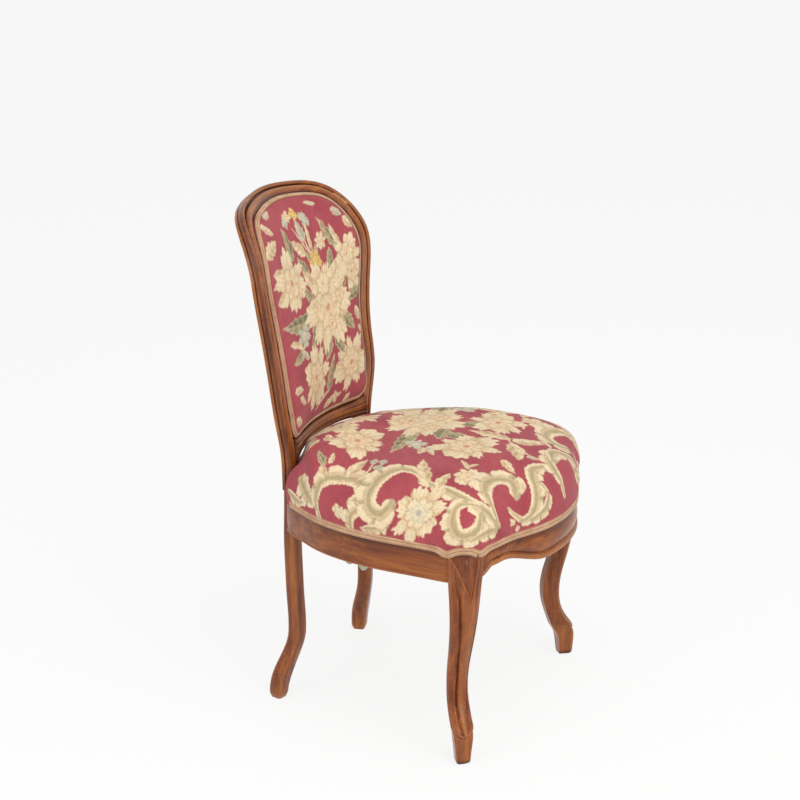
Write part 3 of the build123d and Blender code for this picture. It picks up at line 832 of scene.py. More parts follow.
    def post(self) -> Draft:
        """The right post: moulded stile above, rounded square leg swept back to the foot below.

        Returns:
            Its draft.
        """
        stile = self.outline.even(120, 0.0, self.joint)
        steps = np.linalg.norm(np.diff(stile[-3:], axis=0), axis=1).sum() / 2
        last = stile[-1] - (stile[-1] - stile[-2]) / steps * 0.7
        stile = np.vstack([stile[:-1], last[None], stile[-1:]])
        draft = Draft().sweep(*self.length(stile, (False, True)))
        heights = (self.rail_top + 12) * np.linspace(0, 1, 72) ** 1.3
        corner = np.linspace(0, math.pi / 2, 5)
        half = self.leg / 2
        ring, bright = [], []
        for quarter in range(4):
            turn = corner + quarter * math.pi / 2
            corner_at = (1 if quarter in (0, 3) else -1, 1 if quarter < 2 else -1)
            way = np.array(corner_at) * (half - self.leg_corner)
            ring.append(way + self.leg_corner * np.stack([np.cos(turn), np.sin(turn)], 1))
            bright.append(0.55 * np.sin(2 * corner))
        ring, bright = np.vstack(ring), np.concatenate(bright)
        turn = 0.6 * self.post_turn
        turned = ring @ np.array([[math.cos(turn), math.sin(turn)], [-math.sin(turn), math.cos(turn)]])
        swing = 0.5 * (1 + np.cos(math.pi * np.minimum(heights / self.sweep_height, 1) ** 1.12))
        swing = swing - 0.1 * bell(heights, 140, 50) + 0.06 * bell(heights, 300, 60)
        middle = np.stack([self.post_x + self.splay * swing, self.post_y + self.sweep * swing], 1)
        worn = 1 - 0.2 * bell(heights, 0, 5) + 0.14 * bell(heights, 46, 36)
        plan = middle[:, None] + turned[None] * worn[:, None, None]
        shape = np.concatenate([plan, np.broadcast_to(heights[:, None, None], (*plan.shape[:2], 1))], 2)
        # The leg's rounded corners are brighter, as worn arrises and painted highlight; the foot is worn
        # brighter near the floor.
        scuffed_and_lit = bright[None] + 0.6 * bell(heights, 0, 16)[:, None]
        return draft.sweep(shape * MM, scuffed_and_lit)

    def crest(self) -> Draft:
        """The crest rail, moulded right across between the two joints.

        Returns:
            Its draft.
        """
        half = self.outline.even(90, self.joint, 1.0)
        half = np.vstack([half[:1], half[:1] + (half[1:2] - half[:1]) * 0.25, half[1:]])
        other = half[:-1][::-1] * np.array([-1, 1])
        return Draft().sweep(*self.length(np.vstack([half, other]), (True, True)))

    def lower_rail(self) -> Draft:
        """The lower rail: arched, rounded on its front, flared up and down into the posts.

        Returns:
            Its draft.
        """
        share = np.linspace(-1, 1, 97)
        x = (self.post_half - self.frame_width / 2) * share
        z = self.rail_height - self.rail_drop + self.rail_arch * (1 - share**2)
        half = self.rail_moulded / 2 + self.corner_flare * np.abs(share) ** 5
        places = self.on_face(x, z)
        out = self.outward(x, z)
        up = unit(np.cross(run_of(places), -out))
        turn = np.linspace(-1, 1, 41)
        quirks = bell(turn, -0.3, 0.09) + 0.6 * bell(turn, 0.4, 0.07)
        front = np.stack([turn, 6.2 * np.maximum(1 - np.abs(turn) ** 2.4, 0) ** 0.6 - 1.2 - 2.6 * quirks], 1)
        deep = -self.frame_depth
        behind = np.array([(1, -10), (1, 3 + deep), (0.86, deep), (0, deep)])
        section = np.vstack([front, behind, (behind * (-1, 1))[::-1][1:]])
        # The rounded front is brighter on its crown, as painted highlight, and darker in its quirks and
        # behind, as painted shade; the ends by the posts are darker.
        glow = 0.7 * (1 - np.abs(turn) ** 1.5) - 0.3 - 0.9 * quirks
        wear_and_shading = np.concatenate([glow, np.full(len(section) - len(turn), -0.2)])
        shape = places[:, None] + (section[None, :, :1] * half[:, None, None]) * up[:, None]
        shape = shape + section[None, :, 1:] * out[:, None]
        by_posts = ease(0.86, 1.0, np.abs(share))[:, None]
        return Draft().sweep(shape * MM, wear_and_shading[None] * (1 - by_posts) - 0.5 * by_posts)

    def build(self) -> None:
        """Makes and hands over the back's wooden pieces."""
        both_sides(self.post(), "post_and_leg", self.finishes.upright, "back_post")
        hand_over(self.crest().piece("moulded_crest", self.finishes.across), "walnut", "crest_rail")
        lower = self.lower_rail().piece("arched_lower_rail", self.finishes.across)
        hand_over(lower, "walnut", "lower_back_rail")


@dataclass
class SeatPlan:
    """The seat's plan outline, shared by rails, legs, cover and braid, in millimetres."""

    back: BackFrame
    half_width: float = 240.0
    cushion_bulge: float = 1.012
    cover_out: float = 2.6
    ring: CurvePath = field(init=False)

    def __post_init__(self) -> None:
        """Works out where the seat starts and ends, and its outline."""
        share = (self.cushion_bulge - 1 + self.cover_out / self.half_width) / 2
        self.rear = self.back.post_y + self.back.leg / 2
        self.front = (share * self.rear - self.back.depth / 2) / (1 + share)
        self.middle = (self.front + self.rear) / 2
        wide, post, front, rear = self.half_width, self.back.post_half, self.front, self.rear
        # Ends of the canted corner at the right front leg.
        self.cant_front, self.cant_rear = (214, front + 67), (238, front + 115)
        half = [
            (0, front), (84, front + 15), (150, front + 45), (206, front + 63), (wide - 8, front + 91),
            (wide - 1, front + 150), (wide, front + 240), (wide - 9, front + 316), (wide - 29, front + 376),
            (post + 34, rear - 48), (post + 2, rear - 8), (post - 40, rear),
        ]
        other = [(-x, y) for x, y in reversed(half[1:])]
        self.ring = CurvePath(np.array([*half, (0, rear), *other]), closed=True)

    def edge(self, count: int) -> np.ndarray:
        """Points of the outline, evenly spaced, from the front's middle over the right side."""
        return self.ring.even(count + 1)[:-1]

    def outwards(self, spots: np.ndarray, closed: bool = True) -> np.ndarray:
        """Unit vectors in plan out of the outline, at points along it or right round it."""
        run = run_of(spots, closed)
        return np.stack([run[:, 1], -run[:, 0]], 1)


@dataclass
class SeatFrame:
    """Rails and cabriole front legs, in millimetres as in the solids."""

    finishes: Finishes
    plan: SeatPlan
    rail_bottom: float = 325.0
    thickness: float = 24.0
    apron_rise: float = 23.0
    foot: tuple[float, float] = (235.0, -210.0)
    lip: float = 5.0
    side_lip: float = 0.12
    knee_drop: float = 15.0
    ledge: float = 50.0
    ledge_dip: float = 12.0
    ahead: float = -300.0

    def __post_init__(self) -> None:
        """Works out where legs and rails meet."""
        self.rail_top = self.plan.back.rail_top
        self.leg_x = self.foot[0] - 45
        self.leg_y = self.foot[1] + 53.5

    def band(self, spots: np.ndarray, bottom: np.ndarray, lip: np.ndarray) -> tuple[np.ndarray, np.ndarray]:
        """Sections of a rail along its outer edge: hollow under the braid, swelling, rolled lower lip.

        Args:
            spots: Points of the seat's outline along the rail.
            bottom: Height of the lower edge at each point.
            lip: How strongly the lower edge is rolled at each point, from 0 to 1.

        Returns:
            Sections in metres and their rubbing.
        """
        turn = np.linspace(0.5 * math.pi, -0.62 * math.pi, 9)
        share = np.linspace(0, 1, 12)
        edge = 0.2 + 0.5 * np.sin(np.linspace(0.2, math.pi, len(turn)))
        behind = -self.thickness
        rows, dirt_and_painted_shading = [], []
        for spot, way, low, roll in zip(spots, self.plan.outwards(spots, False), bottom, lip):
            bead = 1.0 + (self.lip - 1.0) * roll
            lower = np.stack([bead * 0.8 * np.cos(turn) - 0.6, low + bead + bead * np.sin(turn)], 1)
            lower[:, 0] += 2.2 * roll - bead * 0.25
            swell = roll * (4.2 * np.sin(math.pi * share**1.35) - 4.6 * (1 - share) ** 3)
            height = self.rail_top - 16 - share * (self.rail_top - low - 16 - 2 * bead - 1.5)
            face = np.stack([swell - 0.4, height], 1)
            back = np.array([(behind, low + 0.5), (behind, self.rail_top), (-0.4, self.rail_top)])
            section = np.vstack([face, lower, back])
            rows.append(np.concatenate([spot + section[:, :1] * way, section[:, 1:]], 1))
            # Painted shade in the hollow under the braid and the quirk above the lip, painted highlight on the
            # swelling and the rolled lip; the back is darker.
            hollow = 0.25 * np.sin(math.pi * share) - 0.8 * (1 - share) ** 3 - 0.4 * roll * share**12
            dirt_and_painted_shading.append(np.concatenate([hollow, edge, np.full(len(back), -0.5)]))
        return np.array(rows) * MM, np.array(dirt_and_painted_shading)

    def rail_run(self, start: tuple[float, float], end: tuple[float, float], count: int) -> np.ndarray:
        """Points of the seat's outline between two of its points.

        Args:
            start: Where the run starts; the nearest point of the outline is taken.
            end: Where it ends, further round from the front over the right side.
            count: Number of points.

        Returns:
            X and y, one point a row.
        """
        fine = self.plan.edge(2400)
        first, last = (int(np.argmin(np.linalg.norm(fine - np.array(p), axis=1))) for p in (start, end))
        if last <= first:
            last += len(fine)
        index = np.linspace(first, last, count)
        return np.stack([np.interp(index % len(fine), np.arange(len(fine)), fine[:, i]) for i in (0, 1)], 1)

    def apron(self, x: np.ndarray) -> np.ndarray:
        """Heights of the front rail's shaped lower edge, at distances from its middle."""
        return self.rail_bottom + self.apron_rise * ease(0.36, 0.86, np.abs(x) / self.leg_x)

    def leg(self) -> Draft:
        """The right cabriole leg: worn block foot, ribbed shin, carved knee and its corner of the frame.

        Returns:
            Its draft.
        """
        # Height; front and back along the diagonal; reach to the side rail and to the front rail;
        # skew; groove.
        shape = np.array(
            [
                (0.0, 13.5, -13.5, 14.3, 14.3, 0.0, 0.0),
                (22.0, 15.0, -16.0, 15.8, 15.8, 0.0, 0.0),
                (44.0, 14.5, -21.0, 18.2, 18.6, 0.0, 0.6),
                (56.0, 11.0, -28.5, 19.0, 19.8, 0.0, 1.8),
                (75.0, -1.5, -36.5, 19.0, 20.4, 0.0, 2.6),
                (102.0, -15.0, -45.5, 18.6, 20.0, 0.0, 3.0),
                (132.0, -19.2, -50.5, 18.2, 19.6, 0.0, 3.0),
                (162.0, -17.0, -48.0, 18.4, 20.8, 0.0, 3.0),
                (204.0, -7.0, -36.0, 19.8, 23.2, 0.0, 3.0),
                (252.0, 3.0, -28.0, 22.0, 26.4, 0.0, 2.8),
                (300.0, 6.5, -27.0, 24.8, 30.0, 0.0, 2.6),
                (330.0, 4.4, -33.0, 24.6, 32.4, 3.0, 2.2),
                (352.0, 2.0, -39.0, 23.0, 34.0, 6.0, 1.6),
                (374.0, -0.6, -48.0, 22.0, 31.0, 7.0, 0.8),
                (394.0, -5.0, -50.0, 20.0, 25.0, 6.0, 0.6),
            ]
        )
        fine = CurvePath(shape).even(900)
        heights = np.concatenate([np.linspace(0, 36, 14), np.linspace(37, 68, 44), np.linspace(70, 394, 150)])
        sections, wear_and_shadings = [], []
        for z in heights:
            section, wear_and_shading = self.leg_section(z, *(np.interp(z, fine[:, 0], column) for column in fine.T[1:]))
            sections.append(self.on_diagonal(section, z))
            wear_and_shadings.append(wear_and_shading)
        draft = Draft().sweep(np.array(sections) * MM, np.array(wear_and_shadings))
        corner = self.plan.cant_front
        lower = self.rail_run((self.leg_x, self.ahead), corner, 40)
        bottom = self.apron(lower[:, 0]) - self.knee_drop * ease(self.leg_x, corner[0], lower[:, 0])
        return draft.sweep(*self.band(lower, bottom, np.ones(len(lower))))

    def leg_section(
        self, z: float, front: float, back: float, left: float, right: float, skew: float, depth: float
    ) -> tuple[np.ndarray, np.ndarray]:
        """A level section of the leg, with its first axis out along the corner's diagonal.

        Args:
            z: Height of the section.
            front: Place of its front.
            back: Place of its back.
            left: Reach towards the side rail.
            right: Reach towards the front rail.
            skew: How far the front turns towards the front rail.
            depth: Depth of the grooves beside the rib.

        Returns:
            Corners of the section and their brightening or darkening, by worn edges and painted light.
        """
        side = np.linspace(1, -1, 61)
        level = np.abs(side)
        # A U-shaped ledge over the worn block foot.
        ledge = self.ledge + self.ledge_dip * side**2
        step = 1.8 * ease(ledge + 0.9, ledge - 0.9, z) + 1.6 * ease(4, 0, z)
        # A rib down the shin, off its middle, with a groove on either side.
        middle = np.interp(z, (50, 100, 150, 300, 394), (-0.08, -0.2, -0.34, -0.28, -0.2))
        half = np.interp(z, (46, 52, 66, 100, 150, 230, 300), (0.02, 0.14, 0.3, 0.42, 0.42, 0.48, 0.55))
        shin, ended = 1 - ease(292, 316, z), ease(48, 55, z)
        rib = np.maximum(1 - ((side - middle) / half) ** 2, 0) ** 0.5 * shin * ended
        place = np.interp(z, (300, 332, 345, 356), (middle + half + 0.07, 0.55, 0.68, 0.8))
        groove = bell(side, place, 0.085) * ease(354, 338, z)
        groove = (groove + 0.6 * bell(side, max(middle - half - 0.07, -0.9), 0.06)) * ended
        # A sunk panel on the knee, with raised edges and a drop in it.
        leaf = np.interp(z, (297, 320, 345, 360, 375), (-0.42, -0.1, 0.28, 0.55, 0.95))
        far = np.interp(z, (297, 345, 375), (-0.42, -0.58, -0.7))
        panel = ease(leaf + 0.04, leaf - 0.04, side) * ease(far - 0.04, far + 0.04, side) * ease(296, 305, z)
        lip = (bell(side, leaf + 0.07, 0.055) + 0.7 * bell(side, far - 0.06, 0.045)) * ease(299, 314, z)
        drop = bell(side, -0.12, 0.1) * bell(z, 358, 6)
        crown = 2 + 3 * ease(40, 80, z)
        out = front - skew * side - crown * side**2 - 3.2 * ease(0.84, 1.02, level) ** 2 - step
        out = out + 2.4 * rib - 1.15 * depth * groove - 3.0 * panel + 2.2 * lip + 2.8 * drop
        face = np.stack([out, side * (np.where(side > 0, left, right) - step)], 1)
        # The two flanks narrow to the back.
        turn = np.linspace(0, 1, 16)[1:]
        narrow = 1 - (0.25 + 0.31 * ease(30, 80, z)) * turn**1.6
        flanks = []
        for way, reach in ((-1, right), (1, left)):
            corner = front - skew * way - crown - 3.2 - step[0]
            flanks.append(np.stack([corner - (corner - back) * turn, way * (reach - step[0]) * narrow], 1))
        section = np.vstack([face, flanks[0], [(back, 0)], flanks[1][::-1]])
        # Worn edges and the lit ledge, rib, knee lip and arrises are brighter, as wearing and painted
        # highlight; grooves, the sunk panel, the ledge's underside and the wood under the braid are darker as
        # painted shade, and the foot's end is darker.
        worn = 0.3 * ease(ledge + 1, ledge - 1, z) - 0.9 * ease(9, 3, z) - 0.5 * ease(366, 380, z)
        glow = worn + 0.9 * bell(z, ledge + 1.2, 1.1) - 0.7 * bell(z, ledge - 1.4, 1.2) + 0.35 * rib**2
        glow = glow - 0.22 * groove + 0.8 * lip - 0.12 * panel - 0.4 * drop
        glow = glow + 0.35 * bell(level, 0.93, 0.07) * ended
        return section, np.concatenate([glow, np.full(len(section) - len(side), 0.05 + worn[0])])

    def on_diagonal(self, section: np.ndarray, z: float) -> np.ndarray:
        """Places a level section on the right leg, with its first axis out along the corner's diagonal."""
        plan = self.foot + section @ np.array([(1, -1), (1, 1)]) * DIAGONAL
        return np.concatenate([plan, np.full((len(plan), 1), z)], 1)

    def build(self) -> None:
        """Makes and hands over legs and visible rails."""
        both_sides(self.leg(), "cabriole_leg", self.finishes.upright, "front_leg")
        front = self.rail_run((-self.leg_x, self.ahead), (self.leg_x, self.ahead), 150)
        draft = Draft().sweep(*self.band(front, self.apron(front[:, 0]), np.ones(len(front))))
        hand_over(draft.piece("serpentine_front_rail", self.finishes.across), "walnut", "front_seat_rail")
        rear_end = (self.plan.back.post_half + 3, self.plan.rear - 12)
        side = self.rail_run((237, self.foot[1] + 19), rear_end, 110)
        bottom, lip = (np.full(len(side), value) for value in (self.rail_bottom, self.side_lip))
        draft = Draft().sweep(*self.band(side, bottom, lip))
        both_sides(draft, "bowed_rail", self.finishes.deep, "seat_rail")


class Yarn(Enum):
    """Dyed yarns of the tapestry, each in a dark and a light shade."""

    GROUND = ("#9B3D47", "#B35359")
    CREAM = ("#BE9A6E", "#EBD8B2")
    BLUSH = ("#BC7A55", "#DFB08A")
    GOLD = ("#B88A45", "#E3C276")
    OLIVE = ("#6E6848", "#A9A27A")
    SLATE = ("#98988A", "#CBC6AE")

    def shade(self, share: np.ndarray) -> np.ndarray:
        """Linear colours, one a row, by shares from 0 for the dark shade to 1 for the light one."""
        dark, light = (np.array(linear(code)[:3]) for code in self.value)
        return dark + (light - dark) * np.clip(share, 0, 1)[:, None]


def blend(colours: np.ndarray, rows: np.ndarray, share: np.ndarray, fresh: np.ndarray) -> None:
    """Mixes fresh colours into some rows of colours, in place and each by its share."""
    colours[rows] += (fresh - colours[rows]) * np.clip(share, 0, 1)[:, None]


@dataclass(frozen=True)
class Flower:
    """An open flower: uneven ragged petals with shaded clefts, a smaller inner ring and a warm eye."""

    x: float
    y: float
    radius: float
    petals: int = 6
    turn: float = 0.0
    squash: float = 1.0
    yarn: Yarn = Yarn.CREAM
    eye: Yarn = Yarn.BLUSH

    def mirrored(self) -> Flower:
        """The same flower on the cloth's other half."""
        return replace(self, x=-self.x, turn=-self.turn)

    def lay(self, places: np.ndarray, colours: np.ndarray) -> None:
        """Weaves the flower into the cloth's colours.

        Args:
            places: Flat places of the cloth in millimetres.
            colours: Their colours, changed in place.
        """
        away = places - (self.x, self.y)
        near = np.flatnonzero(np.abs(away).max(1) < 1.4 * self.radius)
        away = away[near] / self.radius * (1, 1 / self.squash)
        far, angle = np.hypot(*away.T), np.arctan2(away[:, 1], away[:, 0]) + self.turn
        angle = angle + 0.22 * np.sin(2 * angle + 0.1 * self.x)
        lobe = np.abs(np.cos(self.petals * angle / 2))
        uneven = 1 + 0.12 * np.sin(2 * angle + 3 * self.turn) + 0.09 * np.sin(5 * angle + self.x)
        edge = (0.61 + 0.37 * lobe**0.6 + 0.07 * np.sin(4 * self.petals * angle) * lobe) * uneven
        inner = 0.34 + 0.22 * np.abs(np.sin(self.petals * angle / 2)) ** 0.7
        rim = 1.1 / self.radius
        veins = 0.2 * np.sin(5 * self.petals * angle + 6 * far)
        light = 0.28 + 0.72 * lobe**0.7 * ease(0.25, 0.8, far / edge) + veins
        blend(colours, near, ease(edge + rim, edge - rim, far), self.yarn.shade(light))
        cup = 1.05 - 0.85 * bell(far, inner, 0.07) + veins
        blend(colours, near, ease(inner + 2 * rim, inner, far), self.yarn.shade(cup))
        blend(colours, near, 0.75 * bell(far, 0.25, 0.1) * lobe, self.eye.shade(0.4 + 0.6 * lobe))
        blend(colours, near, ease(0.15, 0.08, far), self.eye.shade(0.1 + 6 * far))


@dataclass(frozen=True)
class Leaf:
    """A pointed, toothed leaf with a pale edge and vein, one half lit and the other in shade."""

    base: tuple[float, float]
    tip: tuple[float, float]
    width: float
    yarn: Yarn = Yarn.OLIVE
    bend: float = 0.0
    teeth: int = 4

    def mirrored(self) -> Leaf:
        """The same leaf on the cloth's other half."""
        flip = (-self.base[0], self.base[1]), (-self.tip[0], self.tip[1])
        return replace(self, base=flip[0], tip=flip[1], bend=-self.bend)

    def lay(self, places: np.ndarray, colours: np.ndarray) -> None:
        """Weaves the leaf into the cloth's colours.

        Args:
            places: Flat places of the cloth in millimetres.
            colours: Their colours, changed in place.
        """
        base, tip = np.array(self.base), np.array(self.tip)
        length = float(np.linalg.norm(tip - base))
        way = (tip - base) / length
        near = np.flatnonzero(np.linalg.norm(places - (base + tip) / 2, axis=1) < 0.5 * length + self.width)
        away = places[near] - base
        along = away @ way / length
        across = away @ np.array([-way[1], way[0]]) - 4 * self.bend * along * (1 - along)
        body = np.clip(along, 0, 1)
        half = self.width / 2 * np.sin(math.pi * body**0.75) ** 0.8
        half = half * (0.78 + 0.22 * np.abs(np.sin(self.teeth * math.pi * (body + 0.1))))
        gap = half - np.abs(across)
        inside = np.where((along > 0) & (along < 1), ease(-0.9, 0.9, gap), 0)
        ribs = 0.25 * np.sin(2 * self.teeth * math.pi * (along - np.abs(across) / length))
        blend(colours, near, inside, self.yarn.shade(np.where(across > 0, 0.8, 0.3) + ribs))
        blend(colours, near, inside * 0.5 * ease(3.4, 1.6, gap), Yarn.CREAM.shade(0.8 + 0 * gap))
        blend(colours, near, inside * 0.55 * ease(1.6, 0.6, np.abs(across)), Yarn.CREAM.shade(0.6 + 0 * gap))


@dataclass(frozen=True)
class Scroll:
    """A stem or an acanthus scroll along a curve, lobed on its outer side and shaded along its spine."""

    points: tuple
    width: float
    lobes: int = 0
    yarn: Yarn = Yarn.CREAM
    shadow: Yarn = Yarn.OLIVE
    taper: float = 0.35

    def mirrored(self) -> Scroll:
        """The same scroll on the cloth's other half."""
        return replace(self, points=tuple((-x, y) for x, y in self.points))

    def lay(self, places: np.ndarray, colours: np.ndarray) -> None:
        """Weaves the scroll into the cloth's colours.

        Args:
            places: Flat places of the cloth in millimetres.
            colours: Their colours, changed in place.
        """
        last = 89
        spine = CurvePath(np.array(self.points, float)).even(last + 1)
        run = run_of(spine)
        turning = float(np.cross(run[:-1], run[1:]).sum())
        low, high = spine.min(0) - self.width, spine.max(0) + self.width
        near = np.flatnonzero(((places > low) & (places < high)).all(1))
        gaps = places[near][:, None] - spine[None]
        close = np.argmin((gaps**2).sum(2), 1)
        gap = gaps[np.arange(len(near)), close]
        across = (gap[:, 1] * run[close, 0] - gap[:, 0] * run[close, 1]) * (-1 if turning > 0 else 1)
        beyond = np.where((close == 0) | (close == last), (gap * run[close]).sum(1), 0)
        along = close / last
        half = 0.5 * self.width * (self.taper + (1 - self.taper) * np.sin(math.pi * along**0.8))
        lobe = np.sin(math.pi * (self.lobes * along % 1.0) ** 0.6)
        limit = half * np.where(across > 0, 1.0, 0.8)
        if self.lobes:
            half = 0.56 * self.width * (0.28 + 0.72 * ease(0, 0.5, along)) * (1 - 0.25 * ease(0.85, 1, along))
            teeth = np.abs(np.sin(math.pi * 3 * self.lobes * along + 0.4))
            outer = 0.62 + 0.4 * lobe**0.5 + 0.1 * teeth * lobe
            limit = half * np.where(across > 0, outer, 0.5 + 0.08 * teeth)
        room = limit - np.hypot(across, beyond)
        light = across / np.maximum(limit, 0.1)
        inside = ease(-0.9, 0.9, room)
        if not self.lobes:
            blend(colours, near, inside, self.yarn.shade(0.6 + 0.4 * np.abs(light)))
            return
        lines = 0.16 * np.cos(FULL_TURN * (2.6 * light + 0.4 * lobe))
        tone = 0.45 + 0.6 * ease(0.2, 0.8, np.abs(light)) + lines
        blend(colours, near, inside, self.yarn.shade(tone))
        shade = self.shadow.shade(0.75 + lines)
        blend(colours, near, inside * 0.7 * bell(light, -0.05, 0.3), shade)
        cleft = ease(0.5, 0.15, lobe) * ease(0.2, 0.6, light)
        blend(colours, near, inside * 0.7 * cleft, self.shadow.shade(0.5 + lines))


@dataclass(frozen=True)
class WovenFigure:
    """A crimson ground with motifs woven over one another, the first lowest."""

    motifs: tuple
    rag: float = 0.8
    seed: int = 11

    def paint(self, places: np.ndarray) -> np.ndarray:
        """Colours of the cloth.

        Args:
            places: Flat places in millimetres.

        Returns:
            Linear colours, one a row.
        """
        ragged = places.copy()
        for size, share, seed in ((3.5, 1.0, self.seed), (11.0, 1.7, self.seed + 7)):
            ragged += share * self.rag * np.stack([speckle(places, size, seed + i) for i in (0, 1)], 1)
        tone = 0.5 + 0.25 * speckle(places, 38, self.seed + 2) + 0.2 * speckle(places, 4, self.seed + 3)
        colours = Yarn.GROUND.shade(tone)
        ground = colours.copy()
        for motif in self.motifs:
            motif.lay(ragged, colours)
        marks = speckle(places, 7, self.seed + 4) + 0.5 * speckle(places, 3, self.seed + 5)
        etched = ease(0.16, 0.02, np.abs(marks)) * ease(0.1, 0.3, colours[:, 1] - ground[:, 1])
        blend(colours, np.arange(len(places)), 0.5 * etched, Yarn.BLUSH.shade(0.35 + 0 * etched))
        return colours


def back_figure() -> WovenFigure:
    """The back's bouquet, placed in millimetres from the panel's middle.

    Returns:
        The figure.
    """
    cream, olive, slate, gold = Yarn.CREAM, Yarn.OLIVE, Yarn.SLATE, Yarn.GOLD
    edge_sprays = (
        Leaf((-152, 130), (-92, 140), 26, cream), Leaf((-120, 172), (-88, 152), 17, cream),
        Leaf((-88, 178), (-58, 182), 10, slate), Leaf((60, 175), (86, 167), 8, slate),
        Leaf((116, 154), (137, 142), 18, slate), Leaf((136, 136), (162, 118), 21, cream),
        Leaf((126, -24), (146, -52), 20, cream), Leaf((132, -60), (152, -78), 13, cream),
    )
    bud_spray = (
        Scroll(((22, 92), (2, 118), (-14, 146)), 4), Scroll(((24, 92), (12, 116), (6, 142)), 4),
        Scroll(((26, 94), (29, 120), (24, 146)), 4), Leaf((10, 118), (6, 156), 25, slate),
        Leaf((22, 104), (31, 147), 11, cream), Leaf((2, 98), (-36, 126), 22, cream),
        Flower(-28, 157, 10, 4, yarn=slate, eye=slate), Flower(-12, 164, 11, 4, 0.4, yarn=cream, eye=gold),
        Flower(12, 163, 11, 4, 0.2, yarn=gold, eye=gold),
        Flower(35, 151, 12, 4, 0.7, yarn=slate, eye=slate), Flower(58, 110, 16, 7),
        Leaf((33, 84), (41, 110), 15), Leaf((25, 74), (-2, 104), 13), Leaf((0, 62), (-33, 100), 20),
        Leaf((70, 58), (78, 97), 21),
    )
    left_side = (
        Leaf((-50, 98), (-50, 154), 26, olive, teeth=3), Leaf((-92, 74), (-158, 79), 27, cream, -3, 2),
        Leaf((-95, 88), (-150, 100), 24, cream, 3, 2), Leaf((-92, 58), (-146, 48), 30, cream, 4, 2),
        Flower(-78, 66, 57, 6, 0.5), Leaf((2, -12), (-138, 4), 34, olive, 6, 6),
        Scroll(((-60, -40), (-76, -50), (-88, -47)), 4),
        Flower(-62, -32, 22, 5, 0.3, yarn=slate, eye=cream),
        Leaf((-74, -48), (-123, -32), 15, cream, -3, 2), Leaf((-72, -54), (-118, -66), 18, olive, 3, 2),
        Leaf((-80, -54), (-56, -73), 15, slate, 0, 2), Leaf((-128, -112), (-98, -118), 13, cream, 2, 2),
        Leaf((-112, -126), (-86, -146), 11, cream, 0, 2), Leaf((-132, -158), (-104, -176), 17, cream, 0, 3),
    )
    right_side = (
        Leaf((110, 84), (70, 148), 22, olive, 4, 5), Leaf((114, 90), (95, 134), 15, cream, 3, 3),
        Flower(126, 75, 36, 5, 0.2), Flower(134, 40, 32, 5, 0.9), Leaf((108, -6), (164, 8), 22, olive, 3),
    )
    lower = (
        Scroll(((24, -150), (2, -160), (-32, -176)), 5), Leaf((6, -182), (64, -168), 14, cream, 3),
        Leaf((44, -182), (42, -158), 12, cream), Leaf((70, -192), (88, -174), 13, cream, 0, 2),
        Flower(-34, -114, 54, 7, 0.9), Flower(92, -118, 51, 7, 0.2),
        Leaf((18, -156), (39, -90), 23, olive, 3, 5),
    )
    middle = (
        Leaf((-2, 18), (-34, 42), 20), Leaf((92, 12), (112, 42), 17), Leaf((8, -22), (-34, -60), 34),
        Leaf((84, -20), (118, -62), 28), Leaf((36, -56), (10, -98), 25), Leaf((48, -56), (77, -98), 26),
        Leaf((14, 30), (-24, 74), 26, cream, 0, 2), Leaf((68, 28), (90, 74), 28, cream, 0, 2),
        Flower(28, 82, 19, 5, 0.3, yarn=gold, eye=gold), Flower(42, -4, 75, 8, 0.2, 1.12),
        Flower(38, 38, 40, 7, 0.5, eye=cream), Flower(6, 2, 20, 5, 0.4), Flower(84, 6, 22, 5, 0.8),
        Flower(48, -36, 26, 5, 0.1),
    )
    return WovenFigure(edge_sprays + bud_spray + left_side + right_side + lower + middle)


